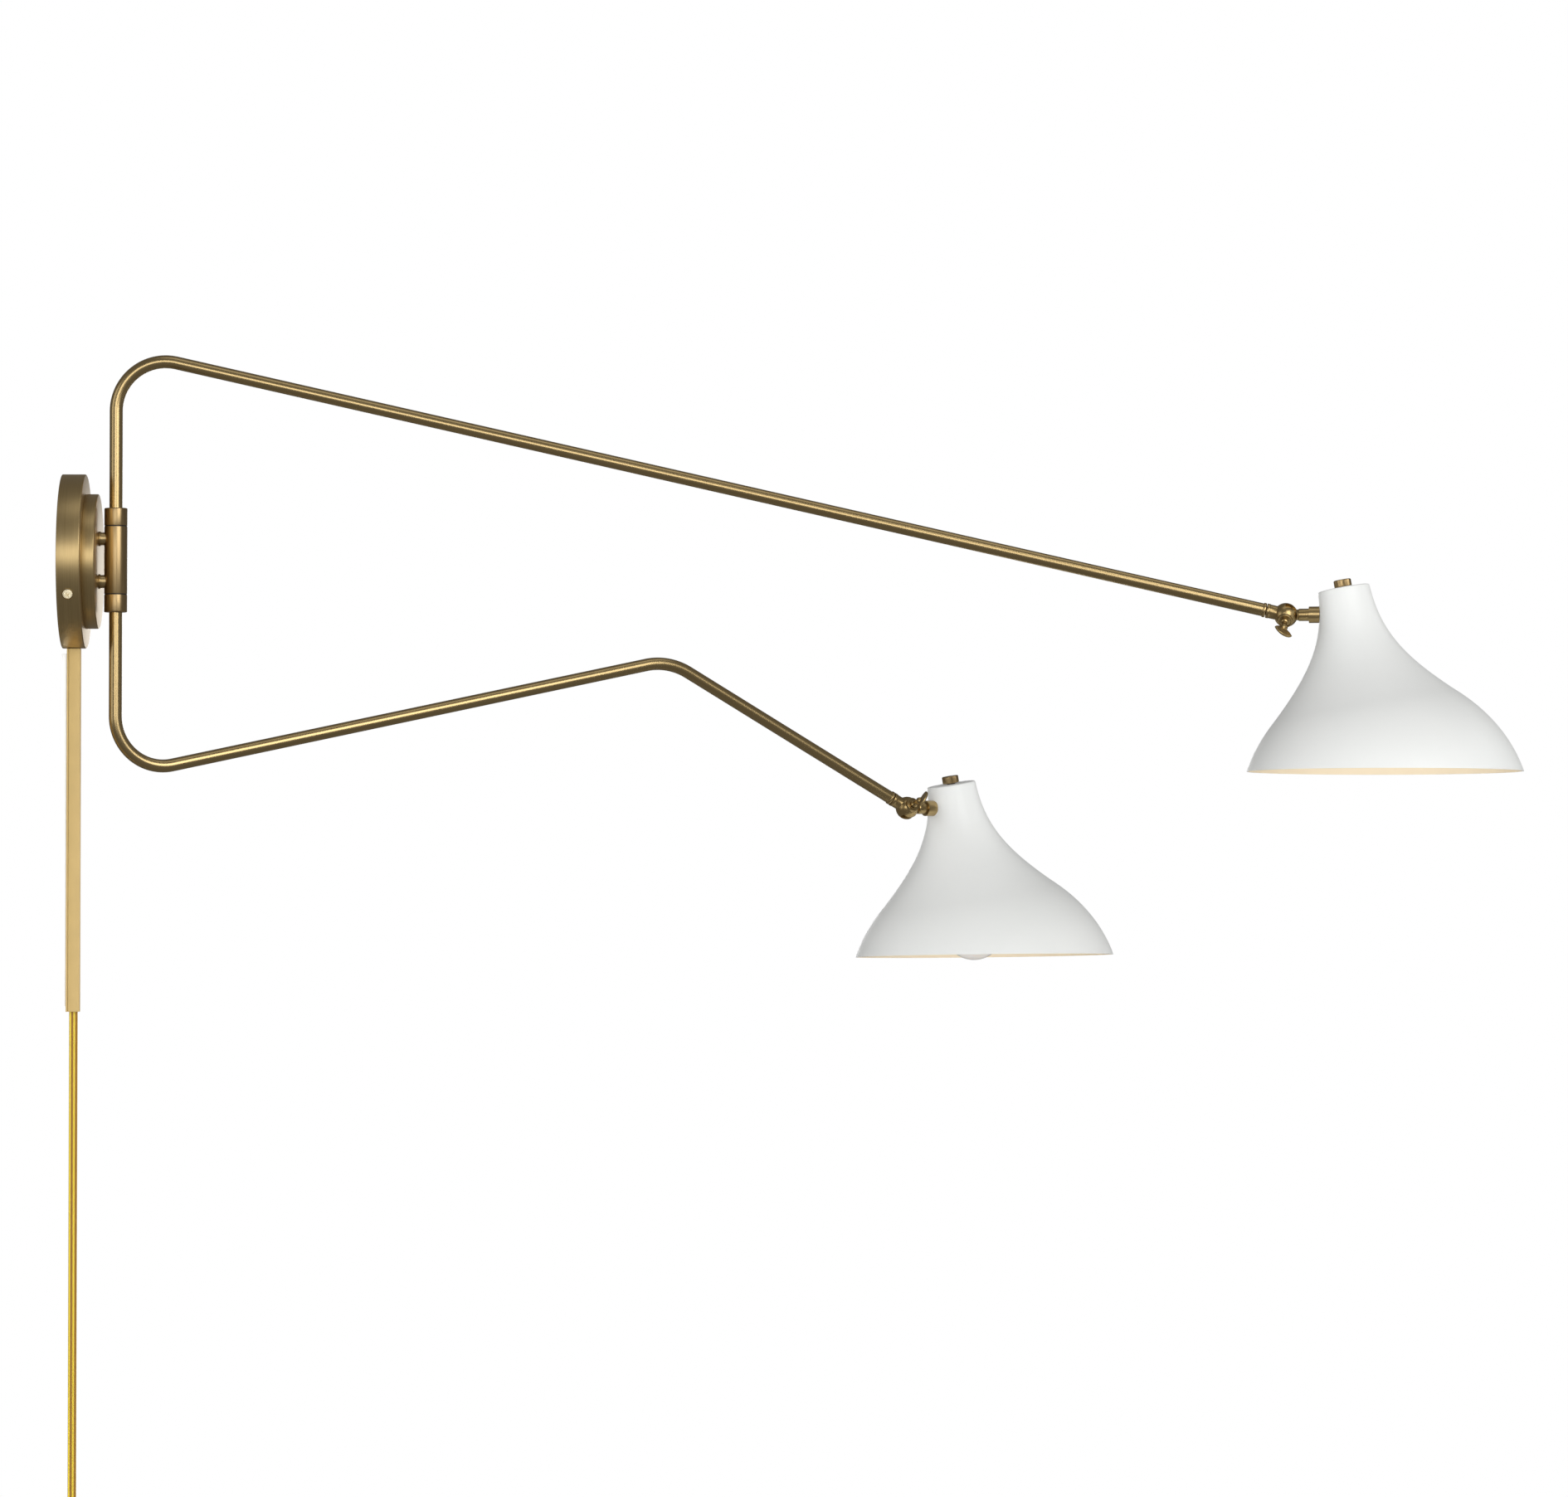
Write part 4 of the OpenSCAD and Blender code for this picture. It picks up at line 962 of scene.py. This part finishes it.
def make_bulb(side, top, axis):
    """A small soft white bulb: a ball that narrows to its neck."""
    r, tip, neck_r, neck = 23.5 * MM, BULB_TIP[side] * MM, 12.8 * MM, 81 * MM
    centre = tip - r
    profile = [(r * math.sin(a), -centre - r * math.cos(a)) for a in map(math.radians, range(0, 105, 5))]
    profile[0] = (0, -tip)
    start, end = Vector(profile[-1]), Vector((neck_r, -neck))
    heading = Vector((math.cos(math.radians(100)), math.sin(math.radians(100))))
    reach = (end.y - start.y) * 0.4
    for k in range(1, 15):
        t = k / 14
        a, b = start + heading * reach, end - Vector((0, 1)) * reach
        p = start * (1 - t) ** 3 + a * 3 * (1 - t) ** 2 * t + b * 3 * (1 - t) * t * t + end * t ** 3
        profile.append((p.x, p.y))
    profile += [(neck_r, -neck + 5 * MM), (0, -neck + 5 * MM)]
    bulb = lathe(side + "_bulb_glass", profile, top, axis, 96)
    finish_piece(bulb, GLASS, side + "_lamp", (side + "_bulb",))


def make_socket(side, top, axis):
    """A ribbed phenolic socket with a rolled thread in its mouth."""
    high, low = -43 * MM, -80 * MM
    out = [(2.1 * MM, high + 1 * MM), (5 * MM, high + 1 * MM), (5 * MM, high), (15.5 * MM, high),
           (17 * MM, high - 1.5 * MM)]
    for k in range(4):
        z = high - (6 + 4.5 * k) * MM
        out += [(17 * MM, z), (16.4 * MM, z - 0.6 * MM), (16.4 * MM, z - 1.6 * MM), (17 * MM, z - 2.2 * MM)]
    out += [(17 * MM, low + 3 * MM), (18 * MM, low + 3 * MM), (18 * MM, low), (13.7 * MM, low)]
    for k in range(8):
        z = low + (3 + 3.5 * k) * MM
        out += [(13.7 * MM, z), (13.3 * MM, z + 0.9 * MM), (13.7 * MM, z + 1.8 * MM)]
    out += [(13.7 * MM, high - 4.5 * MM), (2.1 * MM, high - 4.5 * MM), (2.1 * MM, high + 1 * MM)]
    socket = lathe(side + "_ribbed_socket", out, top, axis, 72)
    finish_piece(sharpen(socket, 30), PHENOLIC, side + "_lamp", (side + "_socket",))


def dressed(name, node, width, mat):
    """A copy of a CAD node with small rounded edges."""
    obj = bpy.data.objects.new(name, frame["nodes"][node].data.copy())
    bpy.context.scene.collection.objects.link(obj)
    bm = bmesh.new()
    bm.from_mesh(obj.data)
    bmesh.ops.remove_doubles(bm, verts=bm.verts, dist=1e-6)
    bmesh.ops.dissolve_limit(bm, angle_limit=math.radians(1), verts=bm.verts, edges=bm.edges)
    bm.to_mesh(obj.data)
    bm.free()
    soften(obj, width, 2, 40)
    return finish_piece(obj, mat, frame["nodes"][node]["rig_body"], (node,))


def make_lamp(side):
    """One arm with its knuckle and lamp, placed by its joints."""
    turn = JOINTS[side + "_knuckle_turn"]
    ball, tube_dir = Vector(turn["pos_m"]), Vector(turn["axis"]).normalized()
    screw_dir = Vector(JOINTS[side + "_shade_tilt"]["axis"]).normalized()
    knob = JOINTS[side + "_knob_turn"]
    axis = Vector(knob["axis"]).normalized()
    top = Vector(knob["pos_m"]) - axis * 3 * MM
    stem_dir = screw_dir.cross(Z).normalized()
    stem_dir *= math.copysign(1, stem_dir.dot(tube_dir))
    level = (axis + stem_dir * math.sin(LEAN)) / math.cos(LEAN)
    make_arm(side, ball, tube_dir)
    make_knuckle(side, ball, tube_dir, screw_dir)
    make_thumbscrew(side, ball, tube_dir, screw_dir)
    make_stem(side, ball, stem_dir, screw_dir)
    make_shade(side, top, axis, level.normalized(), 133 * MM)
    make_knob(side, top, axis)
    make_bulb(side, top, axis)
    make_socket(side, top, axis)
    dressed(side + "_switch_body", side + "_switch", 0.5 * MM, PHENOLIC)
    dressed(side + "_strap", side + "_socket_strap", 0.3 * MM, STEEL)


for lamp_side in ("upper", "lower"):
    make_lamp(lamp_side)

CAD_LOOKS = {"mounting_plate": STEEL, "ground_screw": GREEN, "standoff_nuts": STEEL, "hub_bushes": BUSH,
             "hub_washers": BLACK, "strain_relief": BLACK, "wire_nuts": NUT_ORANGE, "canopy_wires": WIRE,
             "cover_tape": FOAM, "plug_blades": BLADE, "retainer": STEEL, "arm_wires": WIRE,
             "stem_collar": TURNED_BRASS, "stem_nut": STEEL, "socket_screw": STEEL, "bulb_base": ALUMINIUM,
             "leads": WIRE}
for node_name, obj in frame["nodes"].items():
    plain = node_name.removeprefix("upper_").removeprefix("lower_")
    if plain in CAD_LOOKS:
        obj.data.materials.clear()
        obj.data.materials.append(CAD_LOOKS[plain])


# ---------- floor and light ----------
FLOOR_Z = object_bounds()[0][2] - 25 * MM
bm = bmesh.new()
bmesh.ops.create_circle(bm, cap_ends=True, segments=96, radius=1.85,
                        matrix=Matrix.Translation((0.5, 0, FLOOR_Z)))
floor = new_object("floor", bm, False)
floor_mat, floor_nodes, floor_links, floor_shader = material("floor_pale")
floor_coord = floor_nodes.new("ShaderNodeTexCoord")
floor_cloud = noise(floor_nodes, floor_links, floor_coord.outputs["Object"], 3, 3)
floor_tint = ramp(floor_nodes, floor_links, floor_cloud,
                  [(0.3, (0.86, 0.86, 0.86)), (0.7, (0.88, 0.88, 0.88))])
floor_links.new(floor_tint, floor_shader.inputs["Base Color"])
floor_shader.inputs["Roughness"].default_value = 0.9
floor.data.materials.append(floor_mat)
floor.visible_glossy = False


def area_light(name, place, target, size, power):
    """A white rectangle of light that faces a target and doesn't show in the picture."""
    light = bpy.data.lights.new(name, "AREA")
    light.shape = "RECTANGLE"
    light.size, light.size_y = size
    light.energy = power
    obj = bpy.data.objects.new(name, light)
    bpy.context.scene.collection.objects.link(obj)
    obj.location = place
    obj.rotation_euler = (Vector(target) - Vector(place)).to_track_quat("-Z", "Y").to_euler()
    obj.visible_camera = False
    return obj


area_light("key", (2.3, -3.3, 1.2), (0.5, 0, -0.1), (2.4, 2.4), 60)
area_light("front", (-0.3, -4.9, 0.6), (0.5, 0, -0.15), (2.6, 1.7), 35)
area_light("left", (-2.6, -1.6, 0.5), (0.4, 0, -0.1), (1.6, 2.0), 9)
area_light("top", (0.9, -0.5, 2.7), (0.6, 0, 0), (3.0, 1.0), 6)
area_light("back", (0.4, 3.8, -0.1), (0.4, 0, -0.1), (1.2, 0.9), 9)
# These three fill the shades' shadows, and stay out of the brass's reflections.
for place, size, power in (((-2.4, 0.9, 0.9), (2.4, 2.4), 38), ((3.6, 0.9, 0.9), (2.4, 2.4), 44),
                           ((0.8, -1.3, FLOOR_Z + 0.06), (2.4, 0.9), 22)):
    area_light("soft", place, (0.7, 0.1, -0.15), size, power).visible_glossy = False

# The world is white behind the object, and a dim warm grey as light.
world = bpy.data.worlds.new("studio")
bpy.context.scene.world = world
world.use_nodes = True
wn, wl = world.node_tree.nodes, world.node_tree.links
ray = wn.new("ShaderNodeLightPath")
seen = wn.new("ShaderNodeBackground")
seen.inputs["Color"].default_value = (1, 1, 1, 1)
seen.inputs["Strength"].default_value = 1.0
lit = wn["Background"]
lit.inputs["Color"].default_value = (0.9, 0.88, 0.87, 1)
lit.inputs["Strength"].default_value = 0.19
mixer = wn.new("ShaderNodeMixShader")
wl.new(ray.outputs["Is Camera Ray"], mixer.inputs["Fac"])
wl.new(lit.outputs["Background"], mixer.inputs[1])
wl.new(seen.outputs["Background"], mixer.inputs[2])
wl.new(mixer.outputs["Shader"], wn["World Output"].inputs["Surface"])
bpy.context.scene.view_settings.view_transform = "Standard"
